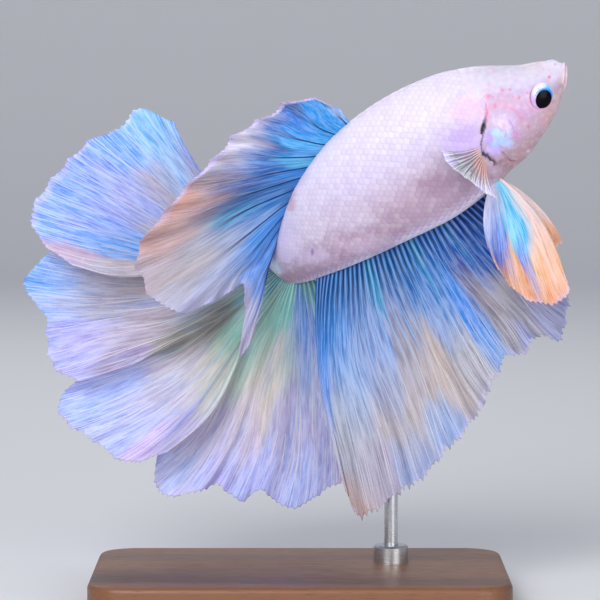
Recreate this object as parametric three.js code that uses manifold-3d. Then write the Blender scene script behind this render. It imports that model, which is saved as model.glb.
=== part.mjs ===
// A life-size museum model of a male halfmoon betta (Betta splendens), swimming head-up to the
// right with its tail swung away, on a plain display stand.
//
// Millimetres. +X runs towards the head, +Y towards the fish's left flank, +Z up.
// The origin is the middle of the stand base's underside.

import * as THREE from "three";
import { mergeVertices } from "three/addons/utils/BufferGeometryUtils.js";
import Module from "manifold-3d";

const wasm = await Module();
wasm.setup();

// ---------------------------------------------------------------- driving dimensions

const GAP = 0.3; // clearance between neighbouring solids
const FIN_THICKNESS = 0.5;
const ROOT_SUNK = 0.4; // how far each fin starts inside the body before it is cut clear of it
const CUTTER_SIZE = 60; // more than any cut through the fish has to reach

// The body's centre line, snout to tail root, as a cubic Bezier: the rear third swings away in Y.
const AXIS = new THREE.CubicBezierCurve3(
  new THREE.Vector3(34.1, 0, 68.3),
  new THREE.Vector3(21.7, 0, 61.4),
  new THREE.Vector3(3.7, 0, 49.7),
  new THREE.Vector3(-3.0, 11.3, 42.9),
);

// Height above and below the centre line, and half the width, along the body from 0 to 1.
const BACK = [[0, 1.4], [0.05, 2.9], [0.1, 3.9], [0.2, 6.6], [0.3, 8.5], [0.45, 9.5], [0.6, 9.0],
  [0.75, 6.8], [0.9, 3.5], [1, 1.9]];
const BELLY = [[0, 2.1], [0.05, 3.6], [0.1, 4.6], [0.2, 6.8], [0.26, 7.3], [0.32, 8.1], [0.45, 8.6],
  [0.6, 7.7], [0.75, 6.5], [0.9, 4.9], [1, 3.6]];
const HALF_WIDTH = [[0, 1.1], [0.05, 2.0], [0.12, 3.1], [0.2, 4.1], [0.3, 4.7], [0.42, 4.9],
  [0.58, 4.6], [0.74, 3.5], [0.88, 2.1], [1, 1.0]];
const BACK_NARROWING = 0.1; // how much narrower the body is along its back
const SNOUT = { cap: 0.6, tilt: 0.5, tiltEnds: 0.12 }; // the blunt lips face up and forwards
const TAIL_CAP = 0.3;
// The rounded ends: how far out each ring lies in the cap, and how much of the section is left.
const CAP_RINGS = [[0.9, 0.62], [0.33, 0.9]];
const SWING_START = 0.6; // the share of the centre line ahead of which the body runs straight

// Lines in the XZ plane that part the head from the trunk, the lower jaw from the head and the
// tail stalk from the trunk (as a share of the centre line).
const GILL_OPENING = [[20.8, 72.8], [22.7, 66.7], [23.6, 62.7], [23.2, 60.1], [23.4, 58.2],
  [24.7, 57.1], [26.3, 55.7], [27.4, 53.4], [27.9, 48.5]];
const GAPE = [[34.2, 71.1], [33.8, 66.4], [32.3, 63.4], [31.2, 58.1]];
const TAIL_STALK_CUT = 0.8;

const GILL_COVER = {
  x: 26.3,
  z: 60.4,
  radii: [3.4, 3.7],
  lean: -0.45,
  depth: 0.8,
  fromMiddle: 0.8, // the bare throat's half width between the two covers
};
const EYE = { x: 30.9, z: 65.6, radius: 1.8, bulge: 1.05, stickOut: 0.4, turn: 0.42 };

// Fins. A margin is a row of [x, y, z] points from the first ray's tip to the last ray's.
// Along the margin there are small scallops between the ray tips, and waves in Y.
const DORSAL = {
  base: { from: 0.54, to: 0.955 },
  rays: 30,
  steps: 6,
  scallops: { count: 15, depth: 0.35 },
  bow: [0.03, -0.02],
  ruffle: { height: 0.45, waves: 6 },
  margin: [[4.9, 0.0, 64.3], [3.8, -0.5, 64.7], [1.0, -1.2, 65.5], [-2.1, -0.5, 65.0],
    [-4.6, 0.8, 63.5], [-7.4, 0.2, 62.0], [-9.5, -0.8, 60.7], [-11.3, 0.5, 58.6],
    [-12.8, 1.0, 56.7], [-15.3, 0.5, 53.9], [-19.1, 1.4, 49.7], [-21.7, 2.3, 45.1],
    [-22.0, 1.6, 40.9], [-19.4, 0.7, 38.0], [-15.6, 1.3, 36.7], [-11.1, 3.1, 38.3],
    [-8.1, 5.4, 40.0], [-7.6, 5.4, 36.9], [-8.1, 4.7, 32.9], [-8.1, 4.5, 30.2],
    [-6.6, 5.0, 32.6], [-5.5, 6.4, 35.9]],
};
const ANAL = {
  base: { from: 0.34, to: 0.9 },
  rays: 38,
  steps: 6,
  scallops: { count: 19, depth: 0.45 },
  bow: [0.0, -0.05],
  ruffle: { height: 0.45, waves: 8 },
  margin: [[34.0, 0.5, 44.5], [35.4, 0.2, 40.4], [35.7, 1.0, 36.9], [34.5, 1.6, 33.1],
    [32.1, 0.7, 33.5], [29.6, 1.6, 31.5], [27.2, 0.2, 30.2], [25.3, -1.2, 27.4],
    [23.9, -0.3, 24.4], [22.0, 0.5, 21.0], [19.1, -0.9, 18.1], [16.4, -2.1, 15.8],
    [13.5, -1.0, 13.5], [10.3, -2.3, 11.4], [7.6, -1.0, 10.2], [6.2, 0.2, 12.8],
    [5.6, 1.4, 15.8]],
};
const CAUDAL = {
  wrap: 0.09, // how far round the end of the tail stalk the root reaches, along the body
  rootShare: 0.92, // the root's length as a share of the tail stalk's height
  rootSunk: 0.2,
  rays: 66,
  steps: 5,
  scallops: { count: 33, depth: 0.35 },
  bow: [0.07, 0.03],
  ruffle: { height: 0.3, waves: 13 },
  sweepBack: 2.8, // how far the rays carry on along the swung tail stalk before they turn
  margin: [[-17.2, 13.0, 62.4], [-19.1, 14.7, 63.0], [-21.7, 15.6, 64.1], [-25.4, 16.5, 61.1],
    [-28.6, 15.9, 60.1], [-32.5, 14.7, 56.8], [-36.4, 12.1, 51.0], [-35.8, 10.1, 47.3],
    [-33.5, 8.3, 44.5], [-30.7, 8.3, 43.0], [-29.8, 11.1, 44.5], [-32.6, 13.7, 45.1],
    [-35.9, 14.7, 43.7], [-37.8, 15.2, 39.5], [-35.2, 14.7, 35.9], [-34.8, 14.7, 32.8],
    [-33.5, 13.3, 28.9], [-30.2, 10.7, 27.0], [-30.0, 13.3, 27.4], [-33.1, 14.9, 24.3],
    [-32.8, 14.2, 21.3], [-27.9, 14.0, 18.0], [-24.1, 13.2, 15.8], [-20.1, 11.1, 16.8],
    [-17.3, 10.7, 18.0], [-18.2, 13.5, 18.9], [-19.8, 15.3, 15.6], [-19.2, 15.6, 11.2],
    [-14.7, 14.4, 11.4], [-11.2, 15.2, 12.4], [-8.1, 14.4, 9.8], [-5.2, 14.0, 11.1],
    [-2.8, 14.7, 9.2], [0.3, 13.5, 9.4], [2.8, 12.5, 11.4], [8.1, 10.1, 14.4]],
};
const VENTRAL = {
  root: [25.3, 1.1, 54.5],
  rootLength: [1.36, 0.8], // forwards and up
  rays: 12,
  steps: 5,
  scallops: { count: 6, depth: 0.3 },
  bow: [0.08, -0.08],
  ruffle: { height: 0.3, waves: 2 },
  // the far left fin stands a little ahead of the near right one
  margins: {
    left: [[34.8, 4.0, 45.9], [33.5, 3.8, 44.9], [34.3, 4.9, 43.7], [35.0, 5.2, 41.1],
      [33.6, 5.5, 38.8], [30.7, 4.5, 38.3], [28.3, 3.8, 39.2]],
    right: [[34.1, -4.0, 42.8], [34.8, -4.7, 39.9], [33.1, -5.2, 38.5], [30.9, -4.3, 38.3],
      [28.8, -4.9, 39.0], [26.9, -4.0, 40.7], [25.3, -4.7, 43.2], [24.1, -3.8, 46.1]],
  },
};
const PECTORAL = {
  root: [[22.8, 58.9], [23.9, 56.7]], // on the flank, as [x, z]
  rays: 12,
  steps: 4,
  scallops: { count: 6, depth: 0.15 },
  bow: [0.06, -0.06],
  ruffle: { height: 0.15, waves: 4 },
  // as [x, outwards, z], the same on both sides
  margin: [[17.9, 6.0, 58.6], [18.7, 6.8, 56.9], [20.3, 7.5, 55.5], [22.0, 7.6, 54.3],
    [23.7, 7.3, 53.0], [25.3, 6.6, 52.2]],
};

const STAND = {
  width: 54,
  depth: 36,
  thickness: 4,
  corner: 5,
  bevel: 0.7,
  rod: { x: 12, y: 4.6, radius: 0.9, top: 57 },
  collar: { radius: 2.3, height: 2 },
};

const COLOURS = {
  flesh: 0xe9e1f3,
  gillCover: 0xd9cdf0,
  eye: 0x16161c,
  dorsalFin: 0x4a8fdc,
  analFin: 0x5c97d8,
  caudalFin: 0x9fb4ee,
  ventralFin: 0x6cb6ea,
  pectoralFin: 0xcfc6ea,
  walnut: 0x6b452c,
  steel: 0xb8bac0,
};

// ---------------------------------------------------------------- curves and closed meshes

// A smooth function through rows of [t, value...], by cubic Hermite pieces.
function smooth(rows) {
  const last = rows.length - 1;
  const slope = (i, k) => {
    const a = rows[Math.max(i - 1, 0)];
    const b = rows[Math.min(i + 1, last)];
    return (b[k] - a[k]) / (b[0] - a[0]);
  };
  return (t, k = 1) => {
    let i = 0;
    while (i < last - 1 && t > rows[i + 1][0]) i += 1;
    const [p, q] = [rows[i], rows[i + 1]];
    const h = q[0] - p[0];
    const x = (t - p[0]) / h;
    return (1 + 2 * x) * (1 - x) ** 2 * p[k] + x * (1 - x) ** 2 * h * slope(i, k)
      + x * x * (3 - 2 * x) * q[k] - x * x * (1 - x) * h * slope(i + 1, k);
  };
}

// A smooth line through points, from 0 to 1 by the straight distance between them.
function smoothLine(points) {
  const rows = [[0, ...points[0]]];
  points.slice(1).forEach((p, i) => {
    rows.push([rows[i][0] + Math.hypot(...p.map((x, k) => x - points[i][k])), ...p]);
  });
  const total = rows.at(-1)[0];
  const at = smooth(rows.map(([d, ...p]) => [d / total, ...p]));
  return (u) => new THREE.Vector3(at(u, 1), at(u, 2), at(u, 3));
}

// A closed mesh from positions and triangles, as a manifold-3d solid.
function solidFrom(positions, triangles) {
  return new wasm.Manifold(new wasm.Mesh({
    numProp: 3,
    vertProperties: new Float32Array(positions.flatMap((p) => [p.x, p.y, p.z])),
    triVerts: new Uint32Array(triangles.flat()),
  }));
}

function solidFromGeometry(geometry) {
  geometry.deleteAttribute("normal");
  geometry.deleteAttribute("uv");
  const merged = mergeVertices(geometry, 1e-4);
  return new wasm.Manifold(new wasm.Mesh({
    numProp: 3,
    vertProperties: merged.attributes.position.array,
    triVerts: new Uint32Array(merged.index.array),
  }));
}

const part = new THREE.Group();

function addPart(name, solid, color, roughness = 0.45, metalness = 0) {
  const mesh = solid.getMesh();
  const geometry = new THREE.BufferGeometry();
  geometry.setAttribute("position", new THREE.BufferAttribute(mesh.vertProperties, 3));
  geometry.setIndex(new THREE.BufferAttribute(mesh.triVerts, 1));
  geometry.computeVertexNormals();
  const material = new THREE.MeshStandardMaterial({ color, roughness, metalness });
  const node = new THREE.Mesh(geometry, material);
  node.name = name;
  part.add(node);
}

// The largest body of a cut solid, without the crumbs that a cut may leave.
function mainBody(solid) {
  return solid.decompose().reduce((a, b) => (a.volume() > b.volume() ? a : b));
}

// ---------------------------------------------------------------- the body's own surface

const backHeight = smooth(BACK);
const bellyHeight = smooth(BELLY);
const halfWidth = smooth(HALF_WIDTH);

// The section at t: its centre, its up and sideways directions, and the way to the tail.
function section(t) {
  const centre = AXIS.getPoint(t);
  const tail = AXIS.getTangent(t);
  const tilt = SNOUT.tilt * Math.max(1 - t / SNOUT.tiltEnds, 0) ** 2;
  const up = new THREE.Vector3(tail.z, 0, -tail.x).normalize();
  up.applyAxisAngle(new THREE.Vector3(0, 1, 0), tilt);
  const side = new THREE.Vector3().crossVectors(up, tail).normalize();
  return { centre, tail, up, side };
}

// The width's share at a height c, which runs from -1 at the belly to 1 at the back.
const taper = (c) => 1 - BACK_NARROWING * Math.max(c, 0) ** 2;

// A point on the body: angle 0 is the back, 90 degrees the right flank, 180 the belly.
function bodyPoint(t, angle, inflate = 0) {
  const { centre, up, side } = section(t);
  const c = Math.cos(angle);
  const height = (c > 0 ? backHeight(t) : bellyHeight(t)) + inflate;
  const width = (halfWidth(t) + inflate) * Math.sin(angle) * taper(c);
  return centre.addScaledVector(up, height * c).addScaledVector(side, width);
}

// Half the body's width at a point of the XZ plane, ahead of where the body swings away.
function flankWidth(x, z) {
  const halvings = 30;
  let [front, rear] = [0, SWING_START];
  for (let step = 0; step < halvings; step += 1) {
    const t = (front + rear) / 2;
    const { centre, up } = section(t);
    if ((x - centre.x) * up.z - (z - centre.z) * up.x > 0) rear = t;
    else front = t;
  }
  const { centre, up } = section(front);
  const height = (x - centre.x) * up.x + (z - centre.z) * up.z;
  const c = height / (height > 0 ? backHeight(front) : bellyHeight(front));
  return halfWidth(front) * Math.sqrt(Math.max(1 - c * c, 0)) * taper(c);
}

function bodySolid({ inflate = 0, rings = 28, around = 20 } = {}) {
  const positions = [];
  const triangles = [];
  const addRing = (t, shift, scale) => {
    const { centre, tail } = section(t);
    for (let j = 0; j < around; j += 1) {
      const p = bodyPoint(t, (2 * Math.PI * j) / around, inflate);
      positions.push(p.sub(centre).multiplyScalar(scale).add(centre).addScaledVector(tail, shift));
    }
  };
  const snoutCap = SNOUT.cap + inflate;
  const tailCap = TAIL_CAP + inflate;
  CAP_RINGS.forEach(([out, scale]) => addRing(0, -out * snoutCap, scale));
  for (let i = 0; i <= rings; i += 1) addRing(i / rings, 0, 1);
  CAP_RINGS.toReversed().forEach(([out, scale]) => addRing(1, out * tailCap, scale));
  const ringCount = positions.length / around;
  for (let i = 0; i < ringCount - 1; i += 1) {
    for (let j = 0; j < around; j += 1) {
      const [a, b] = [i * around + j, i * around + ((j + 1) % around)];
      triangles.push([a, a + around, b], [b, a + around, b + around]);
    }
  }
  const head = section(0);
  const rear = section(1);
  positions.push(head.centre.addScaledVector(head.tail, -snoutCap));
  positions.push(rear.centre.addScaledVector(rear.tail, tailCap));
  const [nose, stub] = [positions.length - 2, positions.length - 1];
  for (let j = 0; j < around; j += 1) {
    const k = (j + 1) % around;
    triangles.push([nose, j, k], [stub, (ringCount - 1) * around + k, (ringCount - 1) * around + j]);
  }
  const solid = solidFrom(positions, triangles);
  return solid.volume() > 0 ? solid : solidFrom(positions, triangles.map(([a, b, c]) => [a, c, b]));
}

// ---------------------------------------------------------------- cutters

// A shape of the XZ plane, run sideways from y0 to y1.
function flankPrism(shape, y0 = -CUTTER_SIZE / 2, y1 = CUTTER_SIZE / 2) {
  const geometry = new THREE.ExtrudeGeometry(shape, {
    depth: y1 - y0,
    bevelEnabled: false,
    curveSegments: 10,
  });
  geometry.rotateX(Math.PI / 2).translate(0, y1, 0);
  return solidFromGeometry(geometry);
}

// All that lies ahead of a line of the XZ plane, which runs from the top down. The line is
// first moved back by a distance, which leaves a gap beside what was cut by the line itself.
function aheadOf(line, back = 0, segments = 14) {
  const at = smoothLine(line.map(([x, z]) => [x, 0, z]));
  const small = 0.1;
  const edge = [];
  for (let i = 0; i <= segments; i += 1) {
    const a = at(Math.max(i - small, 0) / segments);
    const b = at(Math.min(i + small, segments) / segments);
    const normal = b.clone().sub(a).normalize();
    const p = a.add(b).multiplyScalar(0.5);
    edge.push(new THREE.Vector2(p.x + normal.z * back, p.z - normal.x * back));
  }
  const [top, bottom] = [edge[0], edge.at(-1)];
  edge.push(new THREE.Vector2(CUTTER_SIZE, bottom.y), new THREE.Vector2(CUTTER_SIZE, top.y));
  return flankPrism(new THREE.Shape(edge));
}

// All that lies towards the tail from the section at t.
function behindSection(t, back) {
  const { centre, tail, side } = section(t);
  const box = new THREE.BoxGeometry(CUTTER_SIZE, CUTTER_SIZE, CUTTER_SIZE);
  const place = new THREE.Matrix4().makeBasis(side, tail.clone().cross(side), tail);
  place.setPosition(centre.addScaledVector(tail, CUTTER_SIZE / 2 + back));
  return solidFromGeometry(box.applyMatrix4(place));
}

// ---------------------------------------------------------------- fins

// A fin as a fan of rays from a root line to a margin line, scalloped and ruffled. The rays
// bow sideways in the fin's plane by a share of their length, from the first to the last ray.
function finSurface(spec, root, margin) {
  const { scallops, bow, ruffle, sweepBack = 0 } = spec;
  return (u, v) => {
    const from = root(u);
    const ray = margin(u).sub(from);
    const reach = ray.length();
    const dip = scallops.depth * (1 - Math.abs(Math.sin(Math.PI * scallops.count * u)) ** 0.6);
    const across = new THREE.Vector3(-ray.z, 0, ray.x).normalize();
    const bowed = THREE.MathUtils.lerp(bow[0], bow[1], u) * reach * 4 * v * (1 - v);
    const point = from.addScaledVector(ray, v * (1 - (dip * v ** 3) / reach));
    point.addScaledVector(across, bowed);
    point.y += ruffle.height * v * v * Math.sin(2 * Math.PI * ruffle.waves * u);
    point.y += sweepBack * (27 / 4) * v * (1 - v) ** 2; // at its greatest a third of the way out
    return point;
  };
}

// Both faces of a surface, half a thickness out along its normal, closed round the rim.
function finSolid(surface, rays, steps, thickness = FIN_THICKNESS) {
  const positions = [];
  const small = 1e-3;
  const faces = [1, -1];
  faces.forEach((sign) => {
    for (let i = 0; i <= rays; i += 1) {
      for (let j = 0; j <= steps; j += 1) {
        const [u, v] = [i / rays, j / steps];
        const [u0, u1] = [Math.max(u - small, 0), Math.min(u + small, 1)];
        const [v0, v1] = [Math.max(v - small, 0), Math.min(v + small, 1)];
        const du = surface(u1, v).sub(surface(u0, v));
        const dv = surface(u, v1).sub(surface(u, v0));
        const normal = du.cross(dv).normalize();
        positions.push(surface(u, v).addScaledVector(normal, (sign * thickness) / 2));
      }
    }
  });
  const row = steps + 1;
  const back = (rays + 1) * row;
  const at = (i, j) => i * row + j;
  const triangles = [];
  for (let i = 0; i < rays; i += 1) {
    for (let j = 0; j < steps; j += 1) {
      const [a, b, c, d] = [at(i, j), at(i + 1, j), at(i + 1, j + 1), at(i, j + 1)];
      triangles.push([a, b, c], [a, c, d]);
      triangles.push([back + a, back + c, back + b], [back + a, back + d, back + c]);
    }
  }
  const rim = (a, b) => triangles.push([b, a, back + a], [b, back + a, back + b]);
  for (let i = 0; i < rays; i += 1) {
    rim(at(i, 0), at(i + 1, 0));
    rim(at(i + 1, steps), at(i, steps));
  }
  for (let j = 0; j < steps; j += 1) {
    rim(at(rays, j), at(rays, j + 1));
    rim(at(0, j + 1), at(0, j));
  }
  return solidFrom(positions, triangles);
}

function fin(spec, root, margin = spec.margin) {
  return finSolid(finSurface(spec, root, smoothLine(margin)), spec.rays, spec.steps);
}

// ---------------------------------------------------------------- head and body

const body = bodySolid();
const bodyWithGap = bodySolid({ inflate: GAP });

// Eyes: flattened balls that sit in sockets, looking sideways and a little forwards.
function eye(side, grow = 0) {
  const ball = new THREE.SphereGeometry(1, 12, 8);
  ball.scale(EYE.radius + grow, EYE.bulge + grow, EYE.radius + grow);
  ball.rotateZ(-side * EYE.turn);
  const out = flankWidth(EYE.x, EYE.z) + EYE.stickOut - EYE.bulge;
  return solidFromGeometry(ball.translate(EYE.x, side * out, EYE.z));
}

// A gill cover is the outer layer of the cheek, within an ellipse that the gill opening ends.
const core = bodySolid({ inflate: -GILL_COVER.depth, rings: 20, around: 16 });
const coreWithGap = bodySolid({ inflate: -GILL_COVER.depth - GAP, rings: 20, around: 16 });
const headRegion = aheadOf(GILL_OPENING);
function gillEllipse(side, grow = 0) {
  const [rx, rz] = GILL_COVER.radii.map((r) => r + grow);
  const disc = new THREE.Shape();
  disc.absellipse(GILL_COVER.x, GILL_COVER.z, rx, rz, 0, 2 * Math.PI, false, GILL_COVER.lean);
  const inner = GILL_COVER.fromMiddle - grow;
  return side < 0 ? flankPrism(disc, -CUTTER_SIZE / 2, -inner) : flankPrism(disc, inner);
}
const gillCover = (side) => body.intersect(headRegion).intersect(gillEllipse(side)).subtract(core);

const SIDES = { right: -1, left: 1 };
const jawRegion = aheadOf(GAPE);
const jawRegionWithGap = aheadOf(GAPE, GAP);
let head = body.intersect(headRegion).subtract(jawRegionWithGap);
Object.values(SIDES).forEach((side) => {
  head = head.subtract(eye(side, GAP)).subtract(gillEllipse(side, GAP).subtract(coreWithGap));
});
addPart("head", mainBody(head), COLOURS.flesh);
addPart("lower_jaw", mainBody(body.intersect(jawRegion)), COLOURS.flesh);
Object.entries(SIDES).forEach(([name, side]) => {
  addPart(`gill_cover_${name}`, mainBody(gillCover(side)), COLOURS.gillCover);
  addPart(`eye_${name}`, eye(side), COLOURS.eye, 0.1);
});

const behindHead = body.subtract(aheadOf(GILL_OPENING, GAP));
const trunk = behindHead.subtract(behindSection(TAIL_STALK_CUT, -GAP / 2));
addPart("trunk", mainBody(trunk), COLOURS.flesh);
addPart("tail_stalk", mainBody(body.intersect(behindSection(TAIL_STALK_CUT, GAP / 2))), COLOURS.flesh);

// ---------------------------------------------------------------- the fish's fins

function addFin(name, solid, color) {
  addPart(name, mainBody(solid.subtract(bodyWithGap)), color, 0.5);
}

// The dorsal fin stands along the back and the anal fin along the belly.
const rootAlong = ({ from, to }, angle) => (u) =>
  bodyPoint(THREE.MathUtils.lerp(from, to, u), angle, -ROOT_SUNK);
addFin("dorsal_fin", fin(DORSAL, rootAlong(DORSAL.base, 0)), COLOURS.dorsalFin);
addFin("anal_fin", fin(ANAL, rootAlong(ANAL.base, Math.PI)), COLOURS.analFin);

// The caudal fin fans out from the end of the tail stalk, and its root wraps round the end.
function caudalRoot(u) {
  const { centre, up, tail } = section(1 - CAUDAL.wrap * (2 * u - 1) ** 4 * (u > 0.5 ? 1 : 0.5));
  const height = THREE.MathUtils.lerp(backHeight(1), -bellyHeight(1), u);
  return centre.addScaledVector(up, height * CAUDAL.rootShare).addScaledVector(tail, -CAUDAL.rootSunk);
}
addFin("caudal_fin", fin(CAUDAL, caudalRoot), COLOURS.caudalFin);

// Ventral fins hang from the throat, one each side.
const ventralRoot = (side) => (u) => {
  const [x, y, z] = VENTRAL.root;
  const [ahead, up] = VENTRAL.rootLength;
  return new THREE.Vector3(x + (0.5 - u) * ahead, side * y, z + (0.5 - u) * up);
};

// Pectoral fins fan back from behind the gill covers.
const pectoralRoot = (side) => {
  const [from, to] = PECTORAL.root.map(([x, z]) =>
    new THREE.Vector3(x, side * (flankWidth(x, z) - ROOT_SUNK), z));
  return (u) => from.clone().lerp(to, u);
};
Object.entries(SIDES).forEach(([name, side]) => {
  addFin(`ventral_fin_${name}`, fin(VENTRAL, ventralRoot(side), VENTRAL.margins[name]), COLOURS.ventralFin);
  const outline = PECTORAL.margin.map(([x, y, z]) => [x, side * y, z]);
  addFin(`pectoral_fin_${name}`, fin(PECTORAL, pectoralRoot(side), outline), COLOURS.pectoralFin);
});

// ---------------------------------------------------------------- the stand

function standBase() {
  const { width, depth, corner, bevel, thickness } = STAND;
  const [a, b] = [width / 2 - bevel, depth / 2 - bevel];
  const r = corner - bevel;
  const outline = new THREE.Shape()
    .moveTo(-a + r, -b)
    .lineTo(a - r, -b)
    .absarc(a - r, -b + r, r, -Math.PI / 2, 0)
    .absarc(a - r, b - r, r, 0, Math.PI / 2)
    .absarc(-a + r, b - r, r, Math.PI / 2, Math.PI)
    .absarc(-a + r, -b + r, r, Math.PI, 1.5 * Math.PI);
  const geometry = new THREE.ExtrudeGeometry(outline, {
    depth: thickness - 2 * bevel,
    bevelThickness: bevel,
    bevelSize: bevel,
    bevelSegments: 1,
    curveSegments: 5,
  });
  return solidFromGeometry(geometry.translate(0, 0, bevel));
}

function upright(radius, z0, z1, segments = 20) {
  const geometry = new THREE.CylinderGeometry(radius, radius, z1 - z0, segments);
  geometry.rotateX(Math.PI / 2).translate(STAND.rod.x, STAND.rod.y, (z0 + z1) / 2);
  return solidFromGeometry(geometry);
}

const baseTop = STAND.thickness + GAP;
const rod = upright(STAND.rod.radius, baseTop, STAND.rod.top);
const collar = upright(STAND.collar.radius, baseTop, baseTop + STAND.collar.height);
const collarBore = upright(STAND.rod.radius + GAP, 0, STAND.rod.top);
// The rod ends under the belly: of what the fish leaves of it, the lowest body stays.
const rodUnderFish = rod.subtract(bodyWithGap).decompose().reduce((a, b) =>
  (a.boundingBox().min[2] < b.boundingBox().min[2] ? a : b));
addPart("stand_base", standBase(), COLOURS.walnut, 0.4);
addPart("stand_rod", rodUnderFish, COLOURS.steel, 0.25, 1);
addPart("stand_collar", collar.subtract(collarBore), COLOURS.steel, 0.25, 1);

export default part;
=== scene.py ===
"""The looks of a life-size museum model of a male halfmoon betta on a plain display stand.

The file is laid out as a Blender add-on and is run as a script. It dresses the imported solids:
one skin, its scales, two eyes, and seven fins, each a thin web with branching rays.
Shape tables are in millimetres, as in the solids' own source; settings are in metres.
+X runs towards the head, +Y away from the right flank, +Z up.
"""

import itertools
import math

import bpy
import numpy as np
from bpy.props import FloatProperty, FloatVectorProperty, IntProperty, PointerProperty
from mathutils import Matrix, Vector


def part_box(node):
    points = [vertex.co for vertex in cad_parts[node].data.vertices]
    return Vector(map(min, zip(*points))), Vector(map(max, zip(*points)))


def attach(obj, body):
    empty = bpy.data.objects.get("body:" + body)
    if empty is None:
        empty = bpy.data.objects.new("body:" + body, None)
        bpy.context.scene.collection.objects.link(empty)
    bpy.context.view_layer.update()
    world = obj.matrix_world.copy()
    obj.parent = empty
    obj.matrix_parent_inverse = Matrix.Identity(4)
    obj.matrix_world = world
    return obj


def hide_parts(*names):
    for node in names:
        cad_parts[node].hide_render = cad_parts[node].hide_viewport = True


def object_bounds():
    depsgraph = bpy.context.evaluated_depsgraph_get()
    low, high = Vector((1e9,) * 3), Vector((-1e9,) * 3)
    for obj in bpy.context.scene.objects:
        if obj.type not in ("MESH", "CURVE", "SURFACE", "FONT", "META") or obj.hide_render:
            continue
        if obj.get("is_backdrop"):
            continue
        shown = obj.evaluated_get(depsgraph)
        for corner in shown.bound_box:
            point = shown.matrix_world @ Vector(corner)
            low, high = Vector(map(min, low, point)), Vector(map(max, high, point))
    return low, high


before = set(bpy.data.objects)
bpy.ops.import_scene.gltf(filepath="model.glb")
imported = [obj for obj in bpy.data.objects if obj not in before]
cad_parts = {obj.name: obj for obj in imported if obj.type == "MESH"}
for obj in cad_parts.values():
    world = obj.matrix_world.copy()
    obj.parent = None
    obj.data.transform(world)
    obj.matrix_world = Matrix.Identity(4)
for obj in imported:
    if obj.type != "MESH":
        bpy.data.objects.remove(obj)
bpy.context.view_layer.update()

MM = 0.001
WAVE_STEP = 2 * math.pi / 20  # from one band of a wave texture to the next, at scale 1
BODY = "root"
SIDES = {"right": -1, "left": 1}

bl_info = {
    "name": "Betta fish model",
    "version": (1, 0, 0),
    "blender": (4, 5, 0),
    "location": "3D View > Sidebar > Betta",
    "description": "Dresses the solids of a betta fish model with skin, scales, eyes, fins and a stand",
    "category": "Object",
}

# ---------------------------------------------------------------- the body's driving shape, in mm

# The bent centre line's four control points, from snout to tail root. The heights above and below it
# and the half width are rows of (share of its length, mm).
AXIS = np.array([[34.1, 0, 68.3], [21.7, 0, 61.4], [3.7, 0, 49.7], [-3.0, 11.3, 42.9]])
BACK = [[0, 1.4], [0.05, 2.9], [0.1, 3.9], [0.2, 6.6], [0.3, 8.5], [0.45, 9.5], [0.6, 9.0],
        [0.75, 6.8], [0.9, 3.5], [1, 1.9]]
BELLY = [[0, 2.1], [0.05, 3.6], [0.1, 4.6], [0.2, 6.8], [0.26, 7.3], [0.32, 8.1], [0.45, 8.6],
         [0.6, 7.7], [0.75, 6.5], [0.9, 4.9], [1, 3.6]]
HALF_WIDTH = [[0, 1.1], [0.05, 2.0], [0.12, 3.1], [0.2, 4.1], [0.3, 4.7], [0.42, 4.9],
              [0.58, 4.6], [0.74, 3.5], [0.88, 2.1], [1, 1.0]]
SNOUT_CAP, TAIL_CAP = 0.6, 1.3  # how far the rounded ends reach past the line
SNOUT_TILT = 0.5  # radians by which the foremost section leans
TILT_ENDS = 0.12  # share of the length by which that lean has gone

# The gill opening's edge and, behind it, the line where the coat of scales starts: both run from the
# nape down and forwards under the throat, as [x, z].
GILL_EDGE = [[23.6, 65.6], [23.9, 64.2], [23.85, 62.2], [23.5, 60.5], [23.3, 59.7], [23.2, 58.5],
             [24.2, 57.9], [24.9, 57.25], [25.6, 56.5]]
NAPE = [[20.8, 72.8], [22.7, 66.7], [23.6, 62.7], [23.2, 60.1], [23.4, 58.2], [24.7, 57.1],
        [26.3, 55.7], [27.4, 53.4], [27.9, 48.5]]
HEAD_X, SNOUT_X = 21, 33  # the head's relief starts at the one, its snout at the other
EYE_X, EYE_Z = 30.95, 65.55
EYE_LEAN = 0.3  # radians, the eye's long way leans forwards at the top
EYE_TURN = 0.25  # radians, the eye looks a little forwards

# ---------------------------------------------------------------- markings and painted shade
# A ground is a row of (share, colour): from root to margin on a fin, from belly (-1) to back (1)
# on the body. A mark is a soft-edged patch: x and z of its middle, its half length, its half width
# and its colour. On a fin its length runs along the rays.

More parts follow.
